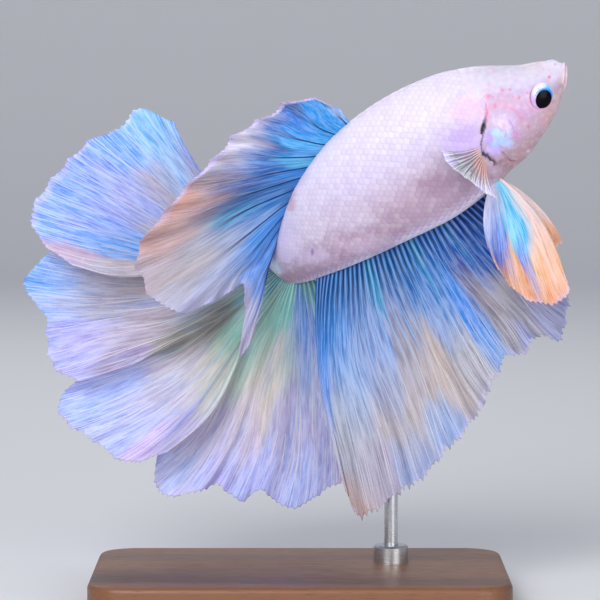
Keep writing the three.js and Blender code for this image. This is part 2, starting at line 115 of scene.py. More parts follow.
DORSAL_GROUND = ((0.0, "#4B94E3"), (0.3, "#4887D9"), (0.55, "#7490CC"), (0.8, "#B6B3CC"), (1.0, "#CDC6DB"))
DORSAL_MARKS = (
    # azure and royal blue over the first rays, with a navy edge above
    (4.0, 62.6, 3.2, 1.8, "#3DA7EE"), (1.2, 63.2, 3.0, 1.4, "#2694EE"), (-1.4, 61.9, 2.8, 1.3, "#2E85E7"),
    (0.0, 59.4, 3.4, 1.4, "#50AFF1"), (-0.6, 56.8, 1.8, 0.6, "#76D5EE"), (-3.9, 61.5, 2.2, 1.4, "#1B3997"),
    (-1.6, 64.4, 1.8, 0.6, "#564B81"), (-3.2, 56.6, 3.6, 1.3, "#2A8DE3"), (-4.6, 58.7, 2.0, 1.3, "#2244A3"),
    (-4.6, 56.2, 1.8, 0.9, "#2A54AA"), (4.5, 64.0, 1.4, 0.6, "#C9D1F1"),
    # the white outer band, with painted shade in one of its folds, the mauve grey at (-8.2, 57.0)
    (-7.1, 61.0, 2.4, 3.2, "#F8F2FF"), (-9.8, 58.8, 2.4, 2.2, "#DAD3E3"), (-8.2, 57.0, 1.2, 0.7, "#988597"),
    # the dusky zone, then blue along the rear rays
    (-7.6, 54.8, 3.2, 1.2, "#5667AA"), (-10.2, 51.0, 3.4, 1.3, "#566A90"),
    (-5.8, 51.4, 3.6, 1.4, "#3178C5"), (-8.4, 50.2, 2.6, 0.6, "#57A7C1"), (-7.8, 47.9, 3.2, 1.2, "#769AD2"),
    (-4.8, 46.4, 3.6, 1.2, "#4898EE"), (-5.2, 43.0, 3.2, 0.9, "#6EA0EE"),
    # apricot and beige towards the rear, pale lilac at the tip
    (-11.4, 54.4, 2.6, 1.4, "#A297A1"), (-14.4, 51.8, 3.4, 1.8, "#D8A490"),
    (-18.4, 47.2, 3.4, 2.2, "#D4A494"), (-15.0, 47.6, 3.4, 1.4, "#B3A3A6"),
    (-11.4, 45.6, 3.6, 1.6, "#ADABB7"), (-19.4, 42.4, 2.8, 1.8, "#BEAFB7"),
    (-15.0, 42.4, 3.4, 1.6, "#B6ADB4"), (-9.8, 42.6, 3.0, 1.3, "#B3BAD7"),
    (-16.4, 39.0, 2.8, 1.4, "#BABED7"), (-12.4, 38.6, 2.6, 1.3, "#C6C2E1"),
    (-8.2, 36.4, 3.4, 1.1, "#BFBEDB"),
)
ANAL_GROUND = ((0.0, "#367DCD"), (0.22, "#3D81D0"), (0.4, "#7C99D0"), (0.7, "#B2B2BF"), (0.9, "#ABB0C9"),
               (1.0, "#97ACE8"))
ANAL_MARKS = (
    # royal blue along the root, deepest near the throat
    (22.4, 49.6, 4.0, 2.4, "#0C3F98"), (17.6, 46.6, 4.0, 2.2, "#1358AE"), (12.6, 43.2, 4.0, 2.2, "#1D66B3"),
    (6.4, 40.6, 4.0, 2.2, "#1B66B5"), (21.4, 44.6, 3.4, 1.6, "#1B54B5"), (17.4, 41.0, 3.4, 1.6, "#2B72BF"),
    (15.6, 44.2, 2.6, 0.5, "#2D9DC9"), (20.2, 46.8, 2.4, 0.5, "#2B99CD"), (23.4, 46.2, 2.8, 1.5, "#1956B5"),
    (9.6, 40.6, 2.4, 0.5, "#42A5D0"),
    # the bright rear band
    (3.4, 36.6, 4.4, 1.8, "#1566BD"), (5.0, 32.6, 4.0, 1.2, "#488DDC"), (1.9, 28.0, 4.6, 1.4, "#3C8DF3"),
    # lilac, cream and apricot further out
    (9.0, 35.4, 3.6, 1.6, "#839ACC"), (13.2, 37.4, 3.4, 1.4, "#788CB9"), (6.2, 27.8, 4.4, 1.8, "#9BAED5"),
    (10.6, 29.8, 4.0, 1.6, "#8DA3D7"), (14.6, 32.4, 4.0, 1.6, "#A09DAE"), (17.8, 30.0, 4.2, 1.8, "#C6B6AC"),
    (22.0, 31.2, 3.4, 1.6, "#ACACB5"), (13.4, 24.6, 4.6, 2.4, "#B8B0B5"), (6.8, 20.6, 4.6, 2.2, "#AEB3C5"),
    (10.0, 16.6, 3.2, 1.8, "#AEA5BB"), (7.8, 12.6, 2.6, 1.8, "#BA9A91"),
    # blue streaks towards the front, with painted shade in the fold between them, a greyish brown
    (18.4, 36.8, 3.6, 1.2, "#87A3D7"), (22.4, 37.4, 3.6, 1.1, "#3C89E6"), (24.4, 34.0, 3.2, 1.2, "#6A9AD9"),
    (22.2, 40.4, 3.4, 0.8, "#92838D"), (18.6, 22.8, 2.6, 1.6, "#8FACDE"), (14.6, 18.4, 2.6, 1.8, "#95A9DB"),
    # grey-lilac behind the ventral fins
    (25.6, 40.2, 3.0, 1.4, "#B6B0B7"), (27.4, 36.4, 3.2, 1.6, "#92909B"), (31.2, 36.4, 3.4, 1.6, "#A4A1B9"),
    (29.6, 33.8, 2.4, 0.6, "#808ED3"), (33.6, 37.6, 2.6, 1.6, "#A0A9DB"), (32.6, 35.0, 2.4, 0.5, "#839ADE"),
)
CAUDAL_GROUND = ((0.0, "#5FA8B8"), (0.18, "#86BCB8"), (0.4, "#C4C0C8"), (0.62, "#BFB8DA"), (0.82, "#A6BAFA"),
                 (1.0, "#C0BEFC"))
CAUDAL_MARKS = (
    # upper lobe: sky blue, lilac inside, a pink lower rim
    (-21.0, 61.8, 3.6, 2.2, "#84CEFF"), (-19.6, 57.6, 4.0, 1.8, "#A4CEFF"),
    (-19.2, 54.0, 2.6, 1.3, "#C4B8D0"), (-25.6, 59.0, 3.4, 2.4, "#78B2FF"),
    (-30.4, 56.0, 3.4, 2.6, "#6E9EFF"), (-25.0, 53.6, 4.4, 2.2, "#B0BCF8"),
    (-32.6, 50.4, 3.0, 2.2, "#82B4FF"), (-28.6, 49.6, 4.0, 1.8, "#9CB2FF"),
    (-24.4, 46.2, 4.0, 1.3, "#80B2FA"), (-31.6, 44.6, 4.0, 0.7, "#D0B4D4"),
    # middle lobe: a blue rim, beige and grey-lilac inside
    (-33.8, 41.2, 3.2, 2.0, "#80B8FF"), (-28.4, 41.0, 4.0, 1.6, "#C8CEEC"),
    (-22.8, 40.8, 3.6, 1.6, "#D0C4C8"), (-32.2, 37.6, 3.2, 1.6, "#AEC6FA"),
    (-26.6, 37.6, 4.0, 1.4, "#B6B4CC"), (-31.8, 33.0, 3.2, 1.8, "#AEB2F8"),
    # the grey mauve at (-22.4, 33.6) is painted shade under the dorsal fin's lobe
    (-27.2, 33.2, 3.6, 1.4, "#CCC6EC"), (-22.4, 33.6, 3.8, 1.4, "#B4A8B6"),
    (-30.6, 28.6, 2.2, 1.6, "#B8BAFC"), (-25.4, 29.8, 3.4, 1.0, "#A498C4"),
    # lower left lobe
    (-30.2, 23.2, 3.2, 2.0, "#A1BAFF"), (-26.2, 24.4, 4.0, 2.0, "#B8C8FF"),
    (-24.4, 20.0, 3.2, 1.8, "#BCCAFF"), (-20.6, 23.6, 4.0, 2.0, "#C0C2ED"),
    (-16.6, 26.6, 4.4, 2.2, "#CAC6D6"), (-20.8, 18.4, 2.6, 1.0, "#D6C0F5"),
    (-16.4, 20.8, 3.6, 1.0, "#AFABE0"),
    # the root: a slate grey that is painted shade in the pocket under the dorsal fin, then green and teal
    (-13.6, 33.6, 3.6, 1.8, "#98968E"), (-9.4, 33.2, 3.0, 1.2, "#8CD0BC"),
    (-5.2, 33.4, 4.0, 1.6, "#A4D2C4"), (-7.2, 36.6, 2.4, 0.7, "#C8E4DC"), (-2.6, 37.0, 2.4, 0.8, "#8CD8D0"),
    (-11.6, 30.2, 3.0, 0.8, "#E0D4C4"), (0.4, 33.0, 4.0, 1.4, "#6C94DC"),
    (-10.8, 27.4, 4.0, 1.8, "#C8CCC4"), (-4.6, 26.6, 4.4, 1.8, "#DCD4CC"),
    (-1.6, 30.4, 3.4, 0.8, "#C0D4D8"), (-7.4, 29.2, 3.6, 0.9, "#C0D8CC"),
    # bottom lobes: lilac-beige with a blue rim
    (-12.4, 20.0, 4.0, 1.8, "#C2BEDE"), (-16.6, 14.0, 3.0, 2.2, "#C2D0FF"),
    (-11.4, 14.4, 3.0, 2.0, "#BEC0FF"), (-7.4, 19.6, 4.4, 1.8, "#CEC4E0"),
    (-5.6, 13.6, 3.0, 2.0, "#BCC4FF"), (-1.4, 20.2, 4.4, 2.0, "#BEBAE2"), (0.4, 14.2, 3.0, 2.2, "#B8C6FF"),
    (4.2, 18.4, 4.0, 2.0, "#A7A9DC"), (2.0, 26.4, 4.0, 1.6, "#ABB4DC"),
)
VENTRAL_GROUND = ((0.0, "#E2D3D7"), (0.3, "#ECCFC0"), (0.7, "#EAB998"), (1.0, "#E8A87B"))
VENTRAL_MARKS = (
    # lilac-white front edge, then turquoise and cobalt streaks, apricot behind
    (24.6, 52.2, 3.0, 0.9, "#CFD3F5"), (25.0, 48.6, 2.6, 0.7, "#88ACF2"), (27.2, 50.8, 3.2, 1.0, "#5ACBF5"),
    (28.6, 48.4, 3.0, 0.9, "#52BFF5"), (25.4, 45.8, 3.0, 0.45, "#3A62D3"),
    (26.6, 45.2, 3.0, 0.4, "#5281E3"), (27.4, 43.6, 2.6, 0.6, "#EAB38A"), (28.6, 45.6, 2.4, 0.4, "#5685EA"),
    (29.6, 43.0, 2.4, 0.4, "#88A4EA"), (30.2, 48.4, 3.4, 0.8, "#ECCBC0"), (31.2, 45.0, 3.2, 1.0, "#F0C7A5"),
    (27.4, 40.8, 2.4, 0.7, "#E4AC86"), (29.6, 40.2, 2.6, 0.9, "#E2A47B"), (32.4, 43.0, 3.0, 0.8, "#F9B783"),
    (33.6, 41.0, 2.6, 0.6, "#F9DACC"), (33.8, 39.4, 2.2, 0.8, "#F0A473"), (29.4, 52.2, 2.0, 0.9, "#ECD6D3"),
)
# painted shade: the dark grey-blue at 0.7 and the grey mark at (21.0, 55.6) stand for the shade seen through
# the clear web
PECTORAL_GROUND = ((0.0, "#E8B8A8"), (0.2, "#B4A8C0"), (0.7, "#76749A"), (0.84, "#BCAEEC"), (1.0, "#C8BCF8"))
PECTORAL_MARKS = (
    (21.0, 55.6, 1.6, 0.8, "#8A97A4"), (23.4, 56.8, 1.4, 0.6, "#E0A898"), (24.8, 53.2, 1.6, 0.7, "#D4D0FF"),
)

# from belly to back: the skin's own tones, with the mauve of the lower flank partly painted shade where light
# from above falls less
SKIN_TONE_AND_SHADE = ((-1.0, "#FFFFFF"), (-0.95, "#F2E8FA"), (-0.88, "#C6B2CC"), (-0.78, "#AF96AC"),
               (-0.45, "#AD95AA"), (-0.15, "#BAA9C0"), (0.2, "#C6BCD8"), (0.6, "#D0C8E0"), (1.0, "#E0D8EC"))
SKIN_MARKS = (
    # broad tones of the cheek, the chin and the throat
    (27.4, 63.4, 4.6, 3.4, "#BEA5C9"), (30.3, 62.0, 2.4, 2.4, "#BCA0B4"), (32.4, 62.4, 1.4, 3.2, "#C4A0A6"),
    (30.9, 59.4, 2.4, 1.8, "#B2929D"), (27.2, 56.2, 2.2, 1.8, "#9E7F8B"), (34.4, 67.6, 0.9, 2.0, "#CFB8C0"),
    (29.0, 57.4, 2.4, 1.8, "#AC8C94"), (26.6, 54.8, 2.6, 1.6, "#AC8E9B"), (33.4, 64.8, 0.9, 1.8, "#C8ABB0"),
    # (32.4, 70.0) is painted grey-blue shade on the swollen nostril
    (29.4, 69.2, 3.4, 1.6, "#CEC8D6"), (25.4, 69.0, 4.4, 2.4, "#CAC4D8"), (32.4, 70.0, 0.7, 0.4, "#C2C8DF"),
    (26.2, 64.6, 2.6, 1.2, "#C8A5C4"), (29.2, 63.6, 1.6, 1.2, "#BE96BE"),
    # pearly turquoise and lilac sheen on the gill cover
    (26.0, 62.0, 1.3, 1.2, "#D8C8F4"), (25.2, 60.7, 1.3, 0.8, "#B0D4F2"), (26.4, 59.7, 1.4, 0.9, "#A8C0F4"),
    (25.0, 58.6, 1.2, 0.8, "#B8A8F2"), (24.3, 60.0, 0.5, 1.3, "#B49CEA"), (24.9, 59.4, 0.5, 0.3, "#8CC4F0"),
    # small red freckles
    (32.1, 67.9, 0.3, 0.25, "#CE7E9C"), (27.0, 66.3, 0.3, 0.26, "#CA7494"),
    (26.0, 66.2, 0.26, 0.22, "#D08CB2"), (28.2, 65.3, 0.3, 0.28, "#BE6084"),
    (27.4, 65.4, 0.24, 0.2, "#CC80A6"), (29.3, 65.9, 0.3, 0.3, "#C080B4"),
    (24.1, 65.5, 0.5, 0.34, "#D88CAC"), (24.7, 65.3, 0.2, 0.2, "#CE7494"),
    (29.4, 61.6, 0.28, 0.36, "#C07C9C"), (28.4, 62.7, 0.28, 0.22, "#C880A6"),
    (24.0, 63.3, 0.26, 0.36, "#D4809E"), (26.3, 63.9, 0.28, 0.2, "#D298B2"),
    (25.0, 64.3, 0.24, 0.4, "#D684A8"), (27.8, 60.4, 0.3, 0.44, "#C084C4"),
    (22.3, 64.2, 0.5, 0.6, "#DC96C8"),
    # flank: rosy lilac behind the gill cover, a rosy edge by the dorsal fin, a fleck by the anal fin
    (21.6, 63.6, 2.6, 2.4, "#D6BAE0"), (21.0, 59.8, 3.0, 2.6, "#BCA6E2"), (-1.0, 51.4, 0.8, 1.3, "#CDB2C4"),
    (2.0, 44.4, 3.4, 1.6, "#CAB8D4"), (-1.6, 45.6, 2.0, 3.0, "#D6CAE2"), (5.8, 49.8, 4.2, 2.2, "#C5B8CF"),
    (17.2, 54.2, 3.2, 1.8, "#A0869E"), (8.4, 46.0, 4.8, 1.5, "#C6B0C8"), (1.6, 48.2, 2.4, 1.9, "#CCC2D6"),
    (-3.3, 42.4, 1.0, 1.2, "#E0F0FF"), (1.6, 45.0, 0.25, 0.5, "#8C78B0"),
)
# Furrows of the head as [x, z] lines: half width and depth in mm, and the colour in the furrow.
FURROWS = (
    (((34.5, 71.0), (34.36, 68.8), (34.3, 67.4), (34.2, 66.5)), 0.1, 0.2, "#CFA0C0"),  # mouth
    (((34.9, 66.9), (34.5, 66.2), (34.0, 65.6), (33.5, 65.4)), 0.13, 0.1, "#D8B0BC"),  # lower lip
    (((26.2, 64.5), (27.2, 63.9), (28.0, 63.2), (28.55, 62.3), (29.2, 61.6)), 0.13, 0.1, "#E29ABC"),
    (((26.6, 62.6), (27.2, 61.8), (27.6, 60.9), (27.5, 60.3)), 0.11, 0.08, "#C088DC"),
    (((25.2, 61.8), (25.6, 61.3), (26.0, 60.9)), 0.1, 0.07, "#BC9CE4"),
    (((25.6, 58.4), (26.2, 58.1), (26.8, 57.3), (27.5, 57.0), (28.3, 57.1)), 0.13, 0.22, "#B08088"),
)

# ---------------------------------------------------------------- the scales

SCALE_WIDTH, SCALE_LENGTH = 1.22, 1.75  # a plate's size as shares of the width set for a scale
SCALE_PATCH = 0.003  # width of each scale's patch on the unwrap of the body's own shape

# ---------------------------------------------------------------- the fins' driving shapes, in mm
# rays, columns, rows: how many rays, and steps of the web's mesh across and along them
# scallops, teeth: how many arcs the margin has and teeth each ray has, and how deep they are
# wander: how far the margin strays inwards in between
# bow: how far the first and the last ray bend in the fin's plane, as a share of their length
# ruffle: height and number of the waves to the sides; sweep: how far the middle swings to the left
# sway, folds, frill: how far the rays sway, the web folds and its margin frills
# strands: how many fibres the web has, as a share of the usual
# rim: where the lilac rim starts on the way out, and its strength at the front and at the rear
# bold: the step from one dark ray to the next, and how much thicker these are
# ground, marks, seed: the colours, and the seed of the noise that ruffles them
# tones: colour and strength of the rays near the root, then near the margin
# streaks: strength of the web's pale, deep and blue fibres, and of the comb of painted shade beside the body
# clear: how far out the web is glass-clear, in mm, and 0 where it isn't
# stretch: where the root starts and ends on the back or the belly, as shares of the body's length
# margin: the rays' ends, from the first ray to the last, as [x, y, z]

DORSAL = {
    "rays": 24, "columns": 576, "rows": 40, "scallops": (17, 0.7), "teeth": (4, 0.35), "wander": 0.85,
    "bow": (0.03, -0.02), "ruffle": (0.45, 6), "sweep": 0.0, "sway": 0.7, "folds": 0.4, "frill": 0.55,
    "strands": 1.0, "rim": (0.925, 0.9, 0.1), "bold": (2, 1.35), "stretch": (0.54, 0.955),
    "slot": "dorsal_fin", "ground": DORSAL_GROUND, "marks": DORSAL_MARKS, "seed": 20,
    "tones": ("#0C2468", 0.85, "#BFC4E8", 0.3), "streaks": (0.3, 0.35, 0.1, 0.12), "clear": 0.0,
    "margin": [[4.9, 0.0, 64.3], [3.8, -0.5, 64.7], [1.0, -1.2, 65.5], [-2.1, -0.5, 65.0],
               [-4.6, 0.8, 63.5], [-7.4, 0.2, 62.0], [-9.5, -0.8, 60.7], [-11.3, 0.5, 58.6],
               [-12.8, 1.0, 56.7], [-15.3, 0.5, 53.9], [-19.1, 1.4, 49.7], [-21.7, 2.3, 45.1],
               [-22.0, 1.6, 40.9], [-19.4, 0.7, 38.0], [-15.6, 1.3, 36.7], [-11.1, 3.1, 38.3],
               [-8.1, 5.4, 40.0], [-7.6, 5.4, 36.9], [-8.1, 4.7, 32.9], [-8.1, 4.5, 30.2],
               [-6.6, 5.0, 32.6], [-5.5, 6.4, 35.9]],
}
ANAL = {
    "rays": 38, "columns": 608, "rows": 46, "scallops": (23, 0.5), "teeth": (2, 0.7), "wander": 0.8,
    "bow": (0.0, -0.05), "ruffle": (0.45, 8), "sweep": 0.0, "sway": 1.0, "folds": 0.36, "frill": 0.35,
    "strands": 0.6, "rim": (0.975, 0.45, 0.45), "bold": (1, 1.0), "stretch": (0.34, 0.9),
    "slot": "anal_fin", "ground": ANAL_GROUND, "marks": ANAL_MARKS, "seed": 30,
    "tones": ("#8CC4FA", 0.6, "#ECEAFC", 0.4), "streaks": (0.4, 0.45, 0.12, 0.9), "clear": 0.0,
    "margin": [[34.0, 0.5, 44.5], [35.4, 0.2, 40.4], [35.7, 1.0, 36.9], [34.5, 1.6, 33.1],
               [32.1, 0.7, 33.5], [29.6, 1.6, 31.5], [27.2, 0.2, 30.2], [25.3, -1.2, 27.4],
               [23.9, -0.3, 24.4], [22.0, 0.5, 21.0], [19.1, -0.9, 18.1], [16.4, -2.1, 15.8],
               [13.5, -1.0, 13.5], [10.3, -2.3, 11.4], [7.6, -1.0, 10.2], [6.2, 0.2, 12.8],
               [5.6, 1.4, 15.8]],
}
CAUDAL = {
    "rays": 40, "columns": 960, "rows": 46, "scallops": (38, 0.45), "teeth": (4, 0.42), "wander": 0.95,
    "bow": (0.07, 0.03), "ruffle": (0.3, 13), "sweep": 2.8, "sway": 1.5, "folds": 0.42, "frill": 0.3,
    "strands": 1.0, "rim": (0.975, 0.45, 0.45), "bold": (1, 1.0),
    "slot": "caudal_fin", "ground": CAUDAL_GROUND, "marks": CAUDAL_MARKS, "seed": 40,
    "tones": ("#D8F4EE", 0.45, "#FFF6FC", 0.48), "streaks": (0.5, 0.3, 0.25, 0.55), "clear": 0.0,
    "margin": [[-17.2, 13.0, 62.4], [-19.1, 14.7, 63.0], [-21.7, 15.6, 64.1], [-25.4, 16.5, 61.1],
               [-28.6, 15.9, 60.1], [-32.5, 14.7, 56.8], [-36.4, 12.1, 51.0], [-35.8, 10.1, 47.3],
               [-33.5, 8.3, 44.5], [-30.7, 8.3, 43.0], [-29.8, 11.1, 44.5], [-32.6, 13.7, 45.1],
               [-35.9, 14.7, 43.7], [-37.8, 15.2, 39.5], [-35.2, 14.7, 35.9], [-34.8, 14.7, 32.8],
               [-33.5, 13.3, 28.9], [-30.2, 10.7, 27.0], [-30.0, 13.3, 27.4], [-33.1, 14.9, 24.3],
               [-32.8, 14.2, 21.3], [-27.9, 14.0, 18.0], [-24.1, 13.2, 15.8], [-20.1, 11.1, 16.8],
               [-17.3, 10.7, 18.0], [-18.2, 13.5, 18.9], [-19.8, 15.3, 15.6], [-19.2, 15.6, 11.2],
               [-14.7, 14.4, 11.4], [-11.2, 15.2, 12.4], [-8.1, 14.4, 9.8], [-5.2, 14.0, 11.1],
               [-2.8, 14.7, 9.2], [0.3, 13.5, 9.4], [2.8, 12.5, 11.4], [8.1, 10.1, 14.4]],
}
VENTRAL = {
    "rays": 9, "columns": 216, "rows": 40, "scallops": (6, 0.3), "teeth": (3, 0.5), "wander": 0.6,
    "bow": (0.08, -0.08), "ruffle": (0.3, 2), "sweep": 0.0, "sway": 0.5, "folds": 0.3, "frill": 0.2,
    "strands": 0.8, "rim": (0.96, 0.4, 0.4), "bold": (1, 1.0),
    "slot": "ventral_fin", "ground": VENTRAL_GROUND, "marks": VENTRAL_MARKS, "seed": 50,
    "tones": ("#FFE9F0", 0.3, "#FFE6DA", 0.3), "streaks": (0.5, 0.45, 0.1, 0.0), "clear": 0.0,
    "margins": {
        "left": [[34.8, 4.0, 45.9], [33.5, 3.8, 44.9], [34.3, 4.9, 43.7], [35.0, 5.2, 41.1],
                 [33.6, 5.5, 38.8], [30.7, 4.5, 38.3], [28.3, 3.8, 39.2]],
        "right": [[34.1, -4.0, 42.8], [34.8, -4.7, 39.9], [33.1, -5.2, 38.5], [30.9, -4.3, 38.3],
                  [28.8, -4.9, 39.0], [26.9, -4.0, 40.7], [25.3, -4.7, 43.2], [24.1, -3.8, 46.1]],
    },
}
PECTORAL = {
    "rays": 11, "columns": 176, "rows": 28, "scallops": (6, 0.15), "teeth": (2, 0.12), "wander": 0.15,
    "bow": (0.06, -0.06), "ruffle": (0.15, 4), "sweep": 0.0, "sway": 0.1, "folds": 0.1, "frill": 0.05,
    "strands": 0.5, "rim": (0.93, 0.6, 0.6), "bold": (1, 1.0),
    "slot": "pectoral_fin", "ground": PECTORAL_GROUND, "marks": PECTORAL_MARKS, "seed": 60,
    "tones": ("#FFE6E2", 0.6, "#FFFFFF", 0.6), "streaks": (0.5, 0.2, 0.1, 0.0), "clear": 5.9,
    "margin": [[17.9, 6.0, 58.6], [18.7, 6.8, 56.9], [20.3, 7.5, 55.5], [22.0, 7.6, 54.3],
               [23.7, 7.3, 53.0], [25.3, 6.6, 52.2]],
}
PECTORAL_ROOT = [[22.8, 58.9], [23.9, 56.7]]  # its ends, as [x, z]
VENTRAL_ROOT = (25.3, 1.1, 54.5)  # its middle, on the left
VENTRAL_ROOT_LENGTH = 1.6
ROOT_SUNK = 0.5  # how far each fin's root starts inside the body
FORKS = (0.0, 0.22, 0.45, 0.7)  # where rays start and fork, as shares of their length
RAY_END = 0.995  # where they end
RUN_POINTS = 12  # points along a ray from one fork to the next

# ---------------------------------------------------------------- the stand and the lights

BASE_CORNER = 5.0  # rounding of the board's corners, in mm
ROD_SUNK = 0.9  # how far the rod goes on into the belly that it carries, in mm
# Each soft light's place and width, in metres.
LIGHTS = {"key": ((-0.22, -0.52, 0.36), 0.36), "fill": ((0.36, -0.5, 0.1), 0.36),
          "back": ((-0.1, 0.35, 0.4), 0.3)}
LIGHT_COLOUR = (1.0, 0.985, 0.975)
SKY_COLOUR = (0.93, 0.95, 1.0, 1.0)


# ---------------------------------------------------------------- settings


def linear(colour):
    """A hex sRGB colour as linear red, green and blue."""
    parts = np.array([int(colour[i:i + 2], 16) / 255 for i in (1, 3, 5)])
    return np.where(parts <= 0.04045, parts / 12.92, ((parts + 0.055) / 1.055) ** 2.4)


def size(name, description, millimetres):
    """A setting in metres from its default in millimetres."""
    return FloatProperty(name=name, description=description, default=millimetres * MM, min=0.0,
                         precision=6, unit="LENGTH")


def share(name, description, default):
    """A setting from 0 to 1."""
    return FloatProperty(name=name, description=description, default=default, min=0.0, max=1.0,
                         subtype="FACTOR")


def colour(name, description, default):
    """A setting for a colour, from a hex one."""
    return FloatVectorProperty(name=name, description=description, size=3, min=0.0, max=1.0,
                               default=tuple(linear(default)), subtype="COLOR")


class BettaSkinSettings(bpy.types.PropertyGroup):
    """Sizes and colours of the skin and its coat of scales."""

    scale_width: size("Scale width", "Width of a flank scale", 0.92)
    scale_row: size("Scale row", "Distance from one column of scales to the next", 0.6)
    scale_thickness: size("Scale thickness", "Thickness of a scale in its middle", 0.022)
    coat_depth: size("Coat depth", "How far the skin lies under the solids' surface", 0.08)
    scale_lift: FloatProperty(name="Scale lift", description="Angle by which a scale's rear edge stands up",
                              default=math.radians(1.9), subtype="ANGLE")
    # painted shade: the darkening in the groove round each scale
    scale_groove_shade: colour("Scale edge", "Tint in the groove round each scale", "#C4B2DE")
    # painted shade in the slit behind the gill cover
    gill_slit_shade: colour("Gill gap", "Tint of the slit behind the gill cover", "#16081E")
    # painted shade inside the nostrils
    nostril: colour("Nostril", "Tint inside the nostrils", "#8F84A8")


class BettaFinSettings(bpy.types.PropertyGroup):
    """Sizes and tints that all fins share."""

    web_root: size("Web at the root", "Thickness of the fin web beside the body", 0.2)
    web_edge: size("Web at the margin", "Thickness of the fin web at its margin", 0.07)
    ray_root: size("Ray radius", "Radius of a fin ray at its root", 0.115)
    ray_tip: size("Ray tip radius", "Radius of a fin ray at its tip", 0.07)
    glow: share("Glow", "Share of light that passes through the web", 0.25)
    pale: colour("Pale streaks", "Tint of the pale fibres between the rays", "#F6F2FF")
    blue: colour("Blue streaks", "Tint of the sky-blue sheen between the rays", "#86BEFF")
    rosy: colour("Rosy streaks", "Tint of the rosy lilac between the rays", "#D9BEE6")
    ray_sides: IntProperty(name="Ray sides", description="Sides of a fin ray's section", default=6, min=3)


class BettaEyeSettings(bpy.types.PropertyGroup):
    """Sizes and colours of the eyes."""

    half_width: size("Eye half width", "Half the eyeball's width", 1.6)
    half_height: size("Eye half height", "Half the eyeball's height", 1.95)
    half_depth: size("Eye half depth", "Half the eyeball's depth", 1.15)
    stick_out: size("Stick out", "How far the eye stands out of the cheek", 0.28)
    pupil: share("Pupil", "Pupil's half width as a share of the eye's", 0.68)
    pupil_colour: colour("Pupil colour", "Colour of the pupil", "#030308")
    upper: colour("Upper iris", "Iris above the pupil", "#5FC0F6")
    rear: colour("Rear iris", "Iris towards the gill cover", "#E2E6FA")
    lower: colour("Lower iris", "Iris under the pupil", "#C9A0DC")
    rim: colour("Rim", "Soft ring round the iris", "#D0BADE")


class BettaStandSettings(bpy.types.PropertyGroup):
    """Colours of the display stand; its sizes are the solids' own."""

    wood_light: colour("Light wood", "Walnut between the growth rings", "#7A4E30")
    wood_dark: colour("Dark wood", "Walnut's growth rings", "#41261A")
    steel: colour("Steel", "Brushed stainless steel", "#C9CBCF")
    edge: size("Edge rounding", "Rounding of the base's edges", 0.7)


class BettaStageSettings(bpy.types.PropertyGroup):
    """The floor, the lights and the camera."""

    floor: colour("Floor", "Pale floor", "#DEE0E6")
    distance: size("Camera distance", "From the camera to the model's middle", 433)
    width: size("View width", "Width that the camera sees at the model's middle", 78)
    middle: size("View middle", "Height of the middle of the view", 39)
    elevation: FloatProperty(name="Elevation", description="Camera's angle above the horizon",
                             default=math.radians(4), subtype="ANGLE")
    key: FloatProperty(name="Key light", description="Power of the high front light in watts", default=3.3)
    fill: FloatProperty(name="Fill light", description="Power of the low front light in watts", default=1.7)
    back: FloatProperty(name="Back light", description="Power of the high rear light in watts", default=0.5)
    sky: FloatProperty(name="Sky", description="Strength of the even light from all round", default=0.4)


SETTINGS = {
    "betta_skin": BettaSkinSettings,
    "betta_fins": BettaFinSettings,
    "betta_eyes": BettaEyeSettings,
    "betta_stand": BettaStandSettings,
    "betta_stage": BettaStageSettings,
}


# ---------------------------------------------------------------- numbers and curves


def blend_between(low, high, value):
    """0 below low, 1 above high and smooth between them; high may be the smaller."""
    x = np.clip((value - low) / (high - low), 0, 1)
    return x * x * (3 - 2 * x)


def unit(vectors):
    """The vectors at length 1."""
    return vectors / np.maximum(np.linalg.norm(vectors, axis=-1, keepdims=True), 1e-12)


def smooth(rows):
    """A smooth function through rows of (t, value...), by cubic Hermite pieces."""
    rows = np.asarray(rows, float)
    knots, values = rows[:, 0], rows[:, 1:]
    index = np.arange(len(rows))
    before, after = np.maximum(index - 1, 0), np.minimum(index + 1, len(rows) - 1)
    slopes = (values[after] - values[before]) / (knots[after] - knots[before])[:, None]

    def at(t):
        t = np.asarray(t, float)
        i = np.clip(np.searchsorted(knots, t) - 1, 0, len(rows) - 2)
        h = (knots[i + 1] - knots[i])[..., None]
        x = (t - knots[i])[..., None] / h
        return ((1 + 2 * x) * (1 - x) ** 2 * values[i] + x * (1 - x) ** 2 * h * slopes[i]
                + x * x * (3 - 2 * x) * values[i + 1] - x * x * (1 - x) * h * slopes[i + 1])

    return at


def smooth_line(points):
    """A smooth line through points, from 0 to 1 by the straight distance between them."""
    points = np.asarray(points, float)
    steps = np.linalg.norm(np.diff(points, axis=0), axis=1)
    along = np.concatenate([[0], np.cumsum(steps)]) / steps.sum()
    return smooth(np.column_stack([along, points]))


def ramp(stops, value):
    """Linear colours between (place, hex) stops."""
    places = [place for place, _ in stops]
    colours = np.array([linear(tint) for _, tint in stops])
    return np.stack([np.interp(value, places, colours[:, k]) for k in range(3)], axis=-1)


def noise(x, y, seed):
    """Smooth noise from -1 to 1 on a lattice of unit squares."""
    lattice = 256
    table = np.random.default_rng(seed).uniform(-1, 1, (lattice, lattice))
    x0, y0 = np.floor(x).astype(int), np.floor(y).astype(int)
    fx, fy = blend_between(0, 1, x - x0), blend_between(0, 1, y - y0)
    corner = [[table[(x0 + i) % lattice, (y0 + j) % lattice] for j in (0, 1)] for i in (0, 1)]
    low = corner[0][0] * (1 - fx) + corner[1][0] * fx
    high = corner[0][1] * (1 - fx) + corner[1][1] * fx
    return low * (1 - fy) + high * fy


def lengths(points):
    """How far each of a line's points lies along it."""
    return np.concatenate([[0], np.cumsum(np.linalg.norm(np.diff(points, axis=0), axis=1))])


